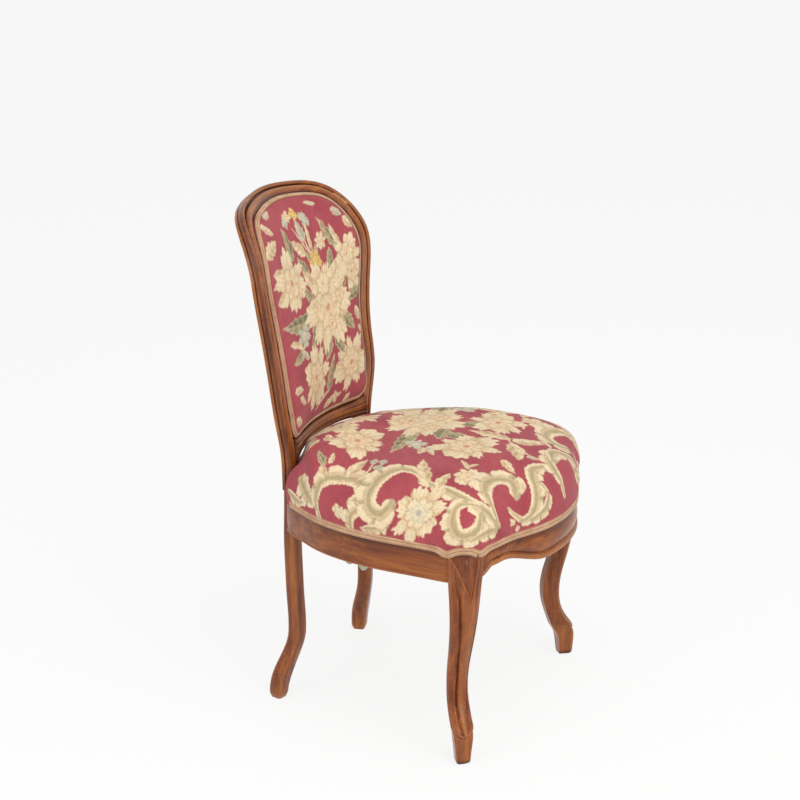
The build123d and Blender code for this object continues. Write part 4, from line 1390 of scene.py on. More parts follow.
def seat_figure() -> WovenFigure:
    """The seat's bouquet and its border of scrolls, placed in millimetres from the seat's middle.

    Returns:
        The figure.
    """
    cream, olive, slate = Yarn.CREAM, Yarn.OLIVE, Yarn.SLATE
    border = (
        Scroll(((-252, 158), (-226, 176), (-196, 186)), 46, 3),
        Scroll(((-236, 196), (-222, 222), (-206, 236)), 30, 3),
        Scroll(
            ((-284, 150), (-248, 150), (-214, 128), (-202, 92), (-212, 56), (-238, 46), (-249, 62)), 44, 7
        ),
        Leaf((-212, 128), (-186, 146), 22, cream, 0, 2), Leaf((-200, 86), (-148, 70), 24, cream, 3, 3),
        Scroll(((-206, 66), (-180, 54), (-156, 54)), 5), Flower(-155, 55, 10, 4, yarn=slate, eye=olive),
        Flower(-174, 38, 10, 4, yarn=slate, eye=olive), Flower(-153, 38, 9, 4, yarn=slate, eye=olive),
        Flower(-265, 92, 15, 5, yarn=cream, eye=slate), Scroll(((-302, 66), (-276, 66), (-260, 46)), 34, 3),
        Scroll(((-292, 44), (-290, 14), (-280, -14)), 26, 4),
        Scroll(
            ((-192, -54), (-178, -36), (-172, -8), (-194, 20), (-230, 30), (-258, 20), (-262, -2),
             (-246, -12)), 44, 7
        ),
        Scroll(((-190, -46), (-198, -96), (-206, -146), (-202, -204)), 36, 6),
        Leaf((-196, -64), (-124, -24), 27, cream, 4, 4), Leaf((-200, -84), (-156, -88), 20, cream, 2, 3),
        Flower(-250, -70, 52, 7, 0.4, yarn=cream, eye=slate), Flower(-150, -117, 27, 6, 0.3),
        Leaf((-124, -108), (-98, -82), 12, cream), Leaf((-118, -104), (-96, -114), 9, cream),
        Scroll(((-206, -166), (-226, -136), (-254, -140), (-270, -164), (-250, -184), (-224, -178)), 40, 6),
        Scroll(((-270, -186), (-244, -198), (-216, -206)), 24, 3),
        Scroll(((-196, -202), (-176, -168), (-142, -150), (-112, -158), (-104, -180), (-122, -196)), 42, 6),
        Scroll(((-156, -204), (-142, -234), (-112, -240), (-76, -212), (-42, -194), (-18, -206)), 36, 6),
        Flower(-168, -222, 7, 4), Flower(-162, -240, 6, 4), Leaf((-110, -206), (-88, -194), 9, cream),
        Scroll(((-66, -222), (-68, -246), (-92, -256), (-124, -248)), 24, 4),
        Scroll(((-14, -268), (-10, -232), (8, -204), (40, -192)), 34, 5),
        Scroll(((-120, 232), (-84, 214), (-46, 222), (-20, 240)), 36, 6),
        Scroll(((-16, 244), (0, 226), (16, 244)), 24, 4),
    )
    paired = [motif for motif in border if not isinstance(motif, Scroll) or motif.points[0][0] < -60]
    right = tuple(motif.mirrored() for motif in paired)
    bouquet = (
        Leaf((-104, 196), (-136, 214), 15, olive, 2, 3), Leaf((-112, 186), (-146, 190), 14, cream, 0, 3),
        Flower(-128, 200, 9, 4, yarn=slate, eye=olive), Leaf((-186, 138), (-150, 166), 17, olive, 2, 3),
        Leaf((-180, 130), (-150, 136), 12, cream, 0, 3), Leaf((-92, 176), (-124, 166), 18, cream, 2, 3),
        Leaf((20, 58), (-114, 44), 34, olive, 4, 6), Leaf((96, 70), (206, 84), 34, olive, -4, 6),
        Flower(-92, 118, 54, 7, 0.2), Flower(-52, 172, 33, 6, 0.6, eye=olive), Flower(22, 172, 40, 7, 0.3),
        Flower(116, 138, 44, 7, 0.9), Flower(-62, 20, 20, 5, yarn=slate, eye=cream),
        Leaf((-72, 2), (-104, -4), 17, cream, 2, 3), Leaf((-70, -4), (-100, -30), 14, cream, 0, 3),
        Flower(-70, -14, 12, 5, yarn=slate, eye=slate), Flower(152, 20, 20, 5, yarn=slate, eye=cream),
        Leaf((160, -2), (194, -14), 17, cream, 2, 3), Leaf((34, -116), (38, -36), 30, cream, 0, 5),
        Leaf((28, 4), (-24, -4), 36, olive), Leaf((8, -8), (-4, -52), 34, olive),
        Leaf((74, -8), (70, -44), 34, olive), Flower(-38, -64, 57, 7, 0.5), Flower(100, -64, 53, 7, 0.1),
        Scroll(((34, -110), (10, -134), (-12, -176)), 5), Scroll(((36, -112), (48, -136), (70, -172)), 5),
        Leaf((16, -122), (-40, -166), 32, cream, 4, 3), Leaf((30, -120), (62, -172), 30, cream, -4, 3),
        Leaf((-56, -140), (-78, -174), 18, cream, 0, 3), Leaf((86, -150), (60, -186), 16, cream, 0, 3),
        Leaf((-18, -170), (-6, -192), 12, slate), Flower(58, 58, 80, 9, 0.3), Flower(48, 84, 38, 6, 0.8),
        Flower(88, 44, 34, 6, 0.2), Flower(28, 40, 30, 6, 0.5),
    )
    return WovenFigure(border + right + bouquet)


def flat_grid(outline: Outline, limit: float, spacing: float) -> tuple[np.ndarray, np.ndarray, list]:
    """A square grid of cloth, cut to an outline about its middle.

    Args:
        outline: The outline.
        limit: Share of the outline's reach at which the cloth ends.
        spacing: Distance between grid lines.

    Returns:
        Flat corners, their share of the reach, and the faces.
    """
    farthest = float(np.max(outline.reach(np.linspace(-math.pi, math.pi, 721)))) * limit
    steps = int(farthest / spacing) + 2
    line = np.arange(-steps, steps + 1) * spacing
    flat = np.stack([a.ravel() for a in np.meshgrid(line, line)], 1)
    far = np.linalg.norm(flat, axis=1)
    edge = outline.reach_at(flat) * limit
    kept = far <= edge + 1.45 * spacing
    number = np.where(kept, np.cumsum(kept) - 1, -1).reshape(len(line), -1)
    inside = (far <= edge).reshape(len(line), -1)
    faces = []
    for i in range(len(line) - 1):
        for j in range(len(line) - 1):
            cell = ((i, j), (i, j + 1), (i + 1, j + 1), (i + 1, j))
            corners = [int(number[c]) for c in cell]
            if min(corners) >= 0 and any(inside[c] for c in cell):
                faces.append(tuple(corners))
    shrink = np.minimum(1, edge / np.maximum(far, 1e-9))
    flat = (flat * shrink[:, None])[kept]
    used = np.zeros(len(flat), bool)
    used[np.unique(faces)] = True
    fresh = np.cumsum(used) - 1
    faces = [tuple(int(fresh[c]) for c in f) for f in faces]
    flat = flat[used]
    return flat, np.linalg.norm(flat, axis=1) / outline.reach_at(flat), faces


# A light, firm weave, tacked at its edges and blown up from below.
FIRM_WEAVE = {
    "vertex_group_mass": "tacked", "quality": 5, "mass": 0.4, "tension_stiffness": 40,
    "compression_stiffness": 25, "bending_stiffness": 4, "use_pressure": True,
}


@dataclass
class StuffedCloth:
    """A cover over stuffing: a flat grid, laid, swollen by simulation and then finely woven."""

    name: str
    finish: Material
    pressure: float = 4.0
    cap: float = 4.0
    frames: int = 20
    thickness: float = 0.0

    def swell(self, piece: Object, pinned: np.ndarray) -> None:
        """Lets air pressure push the cloth out between its pinned edges, by no more than the cap.

        Args:
            piece: The cloth.
            pinned: Numbers of the corners that stay where they are.
        """
        count = len(piece.data.vertices)
        start = np.zeros(count * 3, np.float32)
        piece.data.vertices.foreach_get("co", start)
        group = piece.vertex_groups.new(name=FIRM_WEAVE["vertex_group_mass"])
        group.add([int(i) for i in pinned], 1.0, "REPLACE")
        cloth = piece.modifiers.new("stuffing", "CLOTH")
        for name, value in FIRM_WEAVE.items():
            setattr(cloth.settings, name, value)
        cloth.settings.uniform_pressure_force = self.pressure
        cloth.settings.effector_weights.gravity = 0
        scene = bpy.context.scene
        for frame in range(1, self.frames + 1):
            scene.frame_set(frame)
        graph = bpy.context.evaluated_depsgraph_get()
        moved = np.zeros(count * 3, np.float32)
        piece.evaluated_get(graph).data.vertices.foreach_get("co", moved)
        piece.modifiers.clear()
        scene.frame_set(1)
        shift = (moved - start).reshape(-1, 3)
        size = np.linalg.norm(shift, axis=1, keepdims=True)
        limit = self.cap * MM
        shift *= limit * np.tanh(size / limit) / np.maximum(size, 1e-9)
        piece.data.vertices.foreach_set("co", (start.reshape(-1, 3) + shift).ravel())
        piece.data.update()
        farthest = float(np.linalg.norm(shift, axis=1).max()) / MM
        LOG.info("%s: cloth moved by up to %.1f mm", self.name, farthest)

    def weave(self, flat: np.ndarray, spots: np.ndarray, faces: list, pinned: np.ndarray) -> Object:
        """Makes the cover.

        Args:
            flat: Corners of the cloth before it was laid, in millimetres.
            spots: The same corners in place, in metres.
            faces: The faces.
            pinned: Numbers of the corners that are tacked down.

        Returns:
            The finely divided cover, with its flat places in the map named cloth.
        """
        mesh = bpy.data.meshes.new(self.name)
        mesh.from_pydata(spots.tolist(), [], faces)
        chart = mesh.uv_layers.new(name="cloth")
        corner = np.zeros(len(mesh.loops), np.int32)
        mesh.loops.foreach_get("vertex_index", corner)
        chart.data.foreach_set("uv", (flat[corner] * MM).astype(np.float32).ravel())
        piece = placed(self.name, mesh, self.finish, SHARP_CLOTH)
        self.swell(piece, pinned)
        if self.thickness:
            pad = piece.modifiers.new("pad", "SOLIDIFY")
            pad.thickness, pad.offset = self.thickness * MM, -1.0
        fine = piece.modifiers.new("threads", "SUBSURF")
        fine.levels = fine.render_levels = 2
        fine.boundary_smooth = "PRESERVE_CORNERS"
        return settled(piece)

    def flat_places(self, piece: Object) -> np.ndarray:
        """Flat places of a finished cover's corners.

        Args:
            piece: The cover.

        Returns:
            Flat places in millimetres, one a row.
        """
        mesh = piece.data
        corner = np.zeros(len(mesh.loops), np.int32)
        mesh.loops.foreach_get("vertex_index", corner)
        chart = np.zeros(len(mesh.loops) * 2, np.float32)
        mesh.uv_layers["cloth"].data.foreach_get("uv", chart)
        flat = np.zeros((len(mesh.vertices), 2))
        flat[corner] = chart.reshape(-1, 2) / MM
        return flat

    def colour(self, piece: Object, colours: np.ndarray) -> None:
        """Stores the figure's linear colours, one corner a row, on the cover."""
        layer = piece.data.attributes.new("figure", "FLOAT_COLOR", "POINT")
        layer.data.foreach_set("color", np.insert(colours, 3, 1, axis=1).astype(np.float32).ravel())


@dataclass
class PlaitedGimp:
    """A gimp braid of slanted strands between two corded edges, laid along a path by a node tree."""

    finish: Material
    # Each strand's place across, slant, length in pitches, width and height.
    strands: tuple = (
        (0.2, 0.62, 1.7, 0.44, 1.0),
        (-0.2, -0.62, 1.7, 0.44, 1.0),
        (0.45, 0.35, 1.25, 0.15, 0.8),
        (-0.45, -0.35, 1.25, 0.15, 0.8),
    )
    tree: NodeTree = field(init=False)

    def __post_init__(self) -> None:
        """Builds the tree, whose inputs are the braid's sizes."""
        tree = bpy.data.node_groups.new("plaited_gimp", "GeometryNodeTree")
        face = tree.interface
        face.new_socket("Path", in_out="INPUT", socket_type="NodeSocketGeometry")
        for name in ("Pitch", "Width", "Rise"):
            face.new_socket(name, in_out="INPUT", socket_type="NodeSocketFloat")
        face.new_socket("Braid", in_out="OUTPUT", socket_type="NodeSocketGeometry")
        given = add(tree, "NodeGroupInput").outputs
        curve = add(tree, "GeometryNodeMeshToCurve", {"Mesh": given["Path"]})
        spacing = {"Curve": curve, "Length": given["Pitch"]}
        steps = add(tree, "GeometryNodeResampleCurve", spacing, mode="LENGTH")
        points = add(tree, "GeometryNodeCurveToPoints", {"Curve": steps}, mode="EVALUATED")
        facing = add(tree, "GeometryNodeInputNamedAttribute", {"Name": "facing"}, data_type="FLOAT_VECTOR")
        axes = {"Primary Axis": points.outputs["Tangent"], "Secondary Axis": facing}
        turn = add(tree, "FunctionNodeAxesToRotation", axes, primary_axis="X", secondary_axis="Z")
        ball = add(tree, "GeometryNodeMeshUVSphere", {"Segments": 8, "Rings": 5, "Radius": 0.5})
        # Each strand darkens towards its ends, where it tucks under its neighbours, as painted shade.
        along = add(tree, "SeparateXYZ", {0: add(tree, "GeometryNodeInputPosition")}).outputs[0]
        ends = add(tree, "Math", {0: along, 1: along}, operation="MULTIPLY")
        gap_shade = add(tree, "Math", {0: ends, 1: -3.6}, operation="MULTIPLY")
        stored = {"Geometry": ball, "Name": "wear_and_shading", "Value": gap_shade}
        ball = add(tree, "GeometryNodeStoreNamedAttribute", stored, data_type="FLOAT", domain="POINT")
        joined = add(tree, "GeometryNodeJoinGeometry")
        for side, slant, *shares in self.strands:
            sizes = {}
            for i, socket in enumerate(("Pitch", "Width", "Rise")):
                sizes[i] = add(tree, "Math", {0: given[socket], 1: shares[i]}, operation="MULTIPLY")
            size = add(tree, "CombineXYZ", sizes)
            away = add(tree, "Math", {0: given["Width"], 1: side}, operation="MULTIPLY")
            spot = add(tree, "CombineXYZ", {1: away})
            moved = {"Geometry": ball, "Translation": spot, "Rotation": (0, 0, slant), "Scale": size}
            strand = add(tree, "GeometryNodeTransform", moved)
            tree.links.new(strand.outputs[0], joined.inputs[0])
        placing = {"Points": points, "Instance": joined, "Rotation": turn}
        laid = add(tree, "GeometryNodeInstanceOnPoints", placing)
        real = add(tree, "GeometryNodeRealizeInstances", {"Geometry": laid})
        soft = add(tree, "GeometryNodeSetShadeSmooth", {"Geometry": real, "Shade Smooth": True})
        dressed = add(tree, "GeometryNodeSetMaterial", {"Geometry": soft, "Material": self.finish})
        add(tree, "NodeGroupOutput", {0: dressed})
        self.tree = tree

    def lay(self, name: str, runs: list, pitch: float, width: float, rise: float) -> Object:
        """Lays the braid along paths.

        Args:
            name: Name of the piece.
            runs: Points, outward directions and whether the path is closed, for each path, in metres.
            pitch: Distance between strands in metres.
            width: Width of the braid in metres.
            rise: Height of the strands in metres.

        Returns:
            The braid with its backing tape, as one plain mesh.
        """
        mesh = bpy.data.meshes.new(name)
        edges, spots, facing, first = [], [], [], 0
        tape = Draft()
        section = np.array([(-0.5, -1.5), (0.5, -1.5), (0.49, 0.0), (0.2, 0.1), (-0.2, 0.1), (-0.49, 0.0)])
        for path, out, closed in runs:
            count = len(path)
            edges += [(first + i, first + i + 1) for i in range(count - 1)]
            if closed:
                edges.append((first + count - 1, first))
            spots.append(path)
            facing.append(out)
            first += count
            across = np.cross(out, run_of(path, closed))
            shape = path[:, None] + section[None, :, :1] * width * across[:, None]
            shape = shape + section[None, :, 1:] * rise * out[:, None]
            # The tape is drawn wholly in the dark tape colour, as painted shade seen between the strands.
            tape.sweep(shape, -1.0, closed)
        mesh.from_pydata(np.vstack(spots).tolist(), edges, [])
        layer = mesh.attributes.new("facing", "FLOAT_VECTOR", "POINT")
        layer.data.foreach_set("vector", np.vstack(facing).astype(np.float32).ravel())
        path_piece = bpy.data.objects.new(name + "_path", mesh)
        bpy.context.scene.collection.objects.link(path_piece)
        braid = path_piece.modifiers.new("braid", "NODES")
        braid.node_group = self.tree
        for item in self.tree.interface.items_tree:
            size = {"Pitch": pitch, "Width": width, "Rise": rise}.get(item.name)
            if item.in_out == "INPUT" and size is not None:
                braid[item.identifier] = size
        settled(path_piece)
        piece = tape.piece(name, self.finish)
        with edited(piece.data) as work:
            work.from_mesh(path_piece.data)
        piece.data.polygons.foreach_set("use_smooth", [True] * len(piece.data.polygons))
        bpy.data.objects.remove(path_piece)
        return piece


@dataclass
class SeatUpholstery:
    """Domed seat cover and its braid, in millimetres as in the solids."""

    finishes: Finishes
    plan: SeatPlan
    gimp: PlaitedGimp
    crown: float = 484.0
    gimp_width: float = 13.0
    gimp_strand: float = 2.9
    gimp_drop: float = 10.0
    hem_drop: float = 15.0
    spacing: float = 7.0
    tip_dip: float = 8.5
    rear_lift: float = 23.0
    flank_lift: float = 6.0
    fall: float = 0.022

    def __post_init__(self) -> None:
        """Works out the outline, open and tucked against the posts, and the dome's section."""
        self.rail_top = self.plan.back.rail_top
        edge = self.plan.edge(1800) - (0, self.plan.middle)
        edge = edge + self.plan.outwards(edge) * self.plan.cover_out
        self.open, self.tucked = Outline(edge), Outline(edge)
        self.tuck_posts()
        high, hem = self.crown, self.rail_top - self.hem_drop
        dome = np.array(
            [
                (0, high), (0.18, high), (0.36, high - 1.5), (0.53, high - 5), (0.70, high - 11),
                (0.85, high - 21), (0.965, high - 38), (1.012, self.rail_top + 17), (1.0, hem),
            ]
        )
        mean = self.plan.half_width
        line = CurvePath(dome * (mean, 1)).even(400)
        run = np.linalg.norm(np.diff(line, axis=0), axis=1)
        self.girth = np.concatenate([[0], np.cumsum(run)]) / mean
        self.spread, self.heights = line[:, 0] / mean, line[:, 1]
        self.limit = float(self.girth[-1])

    def tuck_posts(self) -> None:
        """Draws the outline in where the posts stand, so that the cloth is tucked against them."""
        back, reaches = self.plan.back, self.tucked.reaches
        away = np.array([back.post_x, back.post_y - self.plan.middle])
        room, window = 17, 17
        for side in (1, -1):
            middle = away * (side, 1)
            for i, angle in enumerate(self.tucked.angles):
                way = np.array([math.cos(angle), math.sin(angle)])
                across = abs(way[0] * middle[1] - way[1] * middle[0])
                along = way @ middle
                if along > 0 and across < room:
                    reaches[i] = min(reaches[i], along - 6 + 4 * (across / room) ** 4)
        half = window // 2
        wrapped = np.concatenate([reaches[-half:], reaches, reaches[:half]])
        self.tucked.reaches = np.convolve(wrapped, np.ones(window) / window, "valid")

    def lie(self, flat: np.ndarray) -> np.ndarray:
        """Lays flat cloth on the dome.

        Args:
            flat: Places on the flat cloth.

        Returns:
            Places in the chair's frame, in metres.
        """
        angle = np.arctan2(flat[:, 1], flat[:, 0])
        reach = self.tucked.reach(angle)
        away = np.linalg.norm(flat, axis=1)
        share = away / reach
        spread = np.interp(share, self.girth, self.spread) * reach
        open_share = away / self.open.reach(angle)
        share = share + (open_share - share) * ease(self.limit, 0.75, share)
        z = np.interp(share, self.girth, self.heights)
        x, y = spread * np.cos(angle), spread * np.sin(angle) + self.plan.middle
        # The old stuffing stands higher at the rear, most of all beside the left post, but not before it.
        beside_post = ease(-126, -100, x - 1.8 * (y - 150))
        uneven = self.rear_lift * ease(150, -50, x) * beside_post * ease(10, 135, y)
        lift = uneven + self.flank_lift * bell(np.abs(x), 170, 60) * bell(y, -70, 80)
        lift = lift - self.fall * (y - self.plan.middle)
        z = z + lift * ease(self.rail_top, self.rail_top + 60, z)
        return np.stack([x, y, z], 1) * MM

    def cover(self) -> Object:
        """The tapestry cover over the springs and stuffing.

        Returns:
            The cover, closed below.
        """
        cloth = StuffedCloth("tapestry_seat_cover", self.finishes.tapestry)
        flat, share, faces = flat_grid(self.tucked, self.limit, self.spacing)
        tucked = self.tucked.reach_at(flat) < self.open.reach_at(flat) - 3
        pinned = np.flatnonzero((share > self.limit - 0.06) | (tucked & (share > 0.9)))
        piece = cloth.weave(flat, self.lie(flat), faces, pinned)
        cloth.colour(piece, seat_figure().paint(cloth.flat_places(piece)))
        self.line(piece)
        return piece

    def line(self, piece: Object) -> None:
        """Closes the cover below: turned in at its hem, up behind it and flat over the springs, as hessian.

        Args:
            piece: The cover.
        """
        middle = Vector((0, self.plan.middle * MM, 0))
        hessian = self.rail_top + 4
        with edited(piece.data) as work:
            layer = work.verts.layers.float_color["figure"]
            rim = [edge for edge in work.edges if edge.is_boundary]
            for inwards, z in ((1.7, None), (0.0, self.rail_top + 1.5), (14.0, hessian), (30.0, hessian)):
                made = bmesh.ops.extrude_edge_only(work, edges=rim)["geom"]
                rim = [item for item in made if isinstance(item, bmesh.types.BMEdge)]
                fresh = [item for item in made if isinstance(item, bmesh.types.BMVert)]
                for corner in fresh:
                    away = corner.co - middle
                    away.z = 0
                    corner.co -= away.normalized() * inwards * MM
                    corner.co.z = corner.co.z if z is None else z * MM
                    corner[layer] = linear(HESSIAN)
            bmesh.ops.pointmerge(work, verts=fresh, merge_co=middle + Vector((0, 0, hessian * MM)))
            bmesh.ops.recalc_face_normals(work, faces=work.faces)

    def braid(self) -> Object:
        """The braid along the cover's lower edge, dipping to a tip at each end of the canted corners.

        Returns:
            The braid.
        """
        edge = self.plan.edge(1500)
        out = self.plan.outwards(edge)
        back = self.plan.back
        x, y = np.abs(edge[:, 0]), edge[:, 1]
        tips = 0
        for (tip_x, tip_y), spread in ((self.plan.cant_front, 11), (self.plan.cant_rear, 12)):
            tips = tips + bell(np.hypot(x - tip_x, y - tip_y), 0, spread)
        z = self.rail_top - self.gimp_drop - self.tip_dip * tips
        path = np.concatenate([edge + out * (self.plan.cover_out + 0.9), z[:, None]], 1) * MM
        facing = np.concatenate([out, np.zeros((len(out), 1))], 1)
        order = np.roll(np.arange(len(path)), len(path) // 2)
        path, facing = path[order], facing[order]
        clear = np.flatnonzero(path[:, 1] / MM < back.post_y - back.leg / 2 - 2)
        rear = (np.abs(path[:, 0]) / MM < back.post_x - back.leg / 2 - 6) & (path[:, 1] > 0)
        rear = np.flatnonzero(rear)
        rear = rear[np.argsort(path[rear, 0])]
        runs = [(path[run], facing[run], False) for run in (clear, rear)]
        strand = self.gimp_strand * MM
        return self.gimp.lay("seat_gimp_braid", runs, strand, self.gimp_width * MM, strand)

    def build(self) -> None:
        """Makes and hands over the cover and the braid."""
        cover = self.cover()
        hand_over(cover, "tapestry", "seat_cover", "seat_stuffing", "spring_hessian")
        hand_over(self.braid(), "gimp_braid", "seat_gimp")


@dataclass
class BackUpholstery:
    """Padded panel in the back, its braid and the cloth behind, in millimetres as in the solids."""

    finishes: Finishes
    back: BackFrame
    gimp: PlaitedGimp
    middle: float = 680.0
    bottom: float = 484.5
    corner: float = 34.0
    inset: float = 28.5
    crown: float = 16.0
    edge_depth: float = 3.0
    edge_rise: float = 7.2
    edge_width: float = 10.5
    pad_thickness: float = 10.0
    gimp_width: float = 8.6
    gimp_strand: float = 2.6
    spacing: float = 7.0
    full_height: float = 555.0
    fullness: float = 0.45
    rear_inset: float = 24.0
    rear_spacing: float = 9.0
    rear_thickness: float = 1.2

    def boundary(self, inset: float, bottom: float) -> Outline:
        """Outline of a layer of the back, about its middle.

        Args:
            inset: Distance from the frame's outer edge.
            bottom: Height of the layer's lower edge.

        Returns:
            The outline.
        """
        spots = self.back.outline.even(260, 0.2, 1.0)
        places, inward, _ = self.back.stations(spots)
        edge = (places + inset * inward)[:, [0, 2]]
        edge = edge[edge[:, 1] > bottom + 45]
        edge = edge[edge[:, 0] > 0]
        first = edge[0]
        share = np.linspace(0, 1, 40)[:-1]
        turn = share * math.pi / 2
        radius = self.corner
        corner = np.stack(
            [first[0] - radius * (1 - np.sin(turn)) * 0.9, bottom + radius * (1 - np.cos(turn))], 1
        )
        rise = np.linspace(corner[-1, 1], first[1], 12)[1:-1]
        lift = np.stack([np.interp(rise, [corner[-1, 1], first[1]], [corner[-1, 0], first[0]]), rise], 1)
        low = np.stack([np.linspace(0, corner[0, 0], 40)[:-1], np.full(39, bottom)], 1)
        top = np.stack([np.linspace(edge[-1, 0], 0, 12)[1:], np.full(11, edge[-1, 1])], 1)
        half = np.vstack([low, corner, lift, edge, top])
        spots = np.vstack([half, (half * (-1, 1))[::-1][1:-1]]) - (0, self.middle)
        return Outline(spots)

    def lie(self, flat: np.ndarray, rise: np.ndarray) -> np.ndarray:
        """Places in metres of a flat layer that is laid on the back and stands out of the frame's face."""
        x, z = flat[:, 0], flat[:, 1] + self.middle
        return (self.back.on_face(x, z) + rise[:, None] * self.back.outward(x, z)) * MM

    def swelling(self, flat: np.ndarray, share: np.ndarray) -> np.ndarray:
        """How far the padding stands out: a sloping edge for the braid, then a crown that is fuller below.

        Args:
            flat: Places on the panel, from its middle.
            share: Their share of the way to the edge.

        Returns:
            Rises from the frame's face.
        """
        inside = np.linalg.norm(flat, axis=1) * (1 / np.maximum(share, 1e-3) - 1)
        edge = self.edge_rise * np.clip(inside / self.edge_width, 0, 1) ** 0.9
        fuller = 1 + self.fullness * bell(flat[:, 1] + self.middle, self.full_height, 62)
        return edge - self.edge_depth + self.crown * fuller * (1 - np.clip(share, 0, 1) ** 2.4)

    def cover(self) -> Object:
        """The tapestry panel.

        Returns:
            The panel.
        """
        name, thick = "tapestry_back_panel", self.pad_thickness
        cloth = StuffedCloth(name, self.finishes.tapestry, cap=3.0, thickness=thick)
        flat, share, faces = flat_grid(self.boundary(self.inset, self.bottom), 1.0, self.spacing)
        spots = self.lie(flat, self.swelling(flat, share))
        piece = cloth.weave(flat, spots, faces, np.flatnonzero(share > 0.94))
        cloth.colour(piece, back_figure().paint(cloth.flat_places(piece)))
        return piece

    def braid(self) -> Object:
        """The braid round the panel's edge, lying on the slope of the padding.

        Returns:
            The braid.
        """
        turn = np.linspace(-math.pi, math.pi, 900)[:-1]
        reach = self.boundary(self.inset, self.bottom).reach(turn)
        way = np.stack([np.cos(turn), np.sin(turn)], 1)
        lines = []
        for inside in (self.edge_width / 2 - 1.2, 0.4):
            flat = (reach - inside)[:, None] * way
            lines.append(self.lie(flat, self.swelling(flat, (reach - inside) / reach) + 0.8))
        path, slope = lines[0], lines[0] - lines[1]
        facing = unit(np.cross(run_of(path, True), slope))
        facing *= np.where(facing[:, 1:2] > 0, -1, 1)
        strand = self.gimp_strand * MM
        return self.gimp.lay("back_gimp_braid", [(path, facing, True)], strand, self.gimp_width * MM, strand)

    def rear_cloth(self) -> Object:
        """The plain cloth stretched over the back's rear.

        Returns:
            The cloth.
        """
        outline = self.boundary(self.rear_inset, self.back.rail_height - 2)
        flat, share, faces = flat_grid(outline, 1.0, self.rear_spacing)
        thin = self.rear_thickness
        spots = self.lie(flat, -self.back.frame_depth - thin - 1.2 * (1 - share**2.6))
        mesh = bpy.data.meshes.new("rear_back_cloth")
        mesh.from_pydata(spots.tolist(), [], [tuple(reversed(f)) for f in faces])
        piece = placed("rear_back_cloth", mesh, self.finishes.back_cloth, SHARP_CLOTH)
        thick = piece.modifiers.new("cloth", "SOLIDIFY")
        thick.thickness, thick.offset = thin * MM, 1.0
        return settled(piece)

    def build(self) -> None:
        """Makes and hands over panel, braid and rear cloth."""
        cover = self.cover()
        hand_over(cover, "tapestry", "back_cover", "back_stuffing", "back_webbing")
        hand_over(self.braid(), "gimp_braid", "back_gimp")
        rear = self.rear_cloth()
        hand_over(rear, "back_cloth", "outer_back_cover")


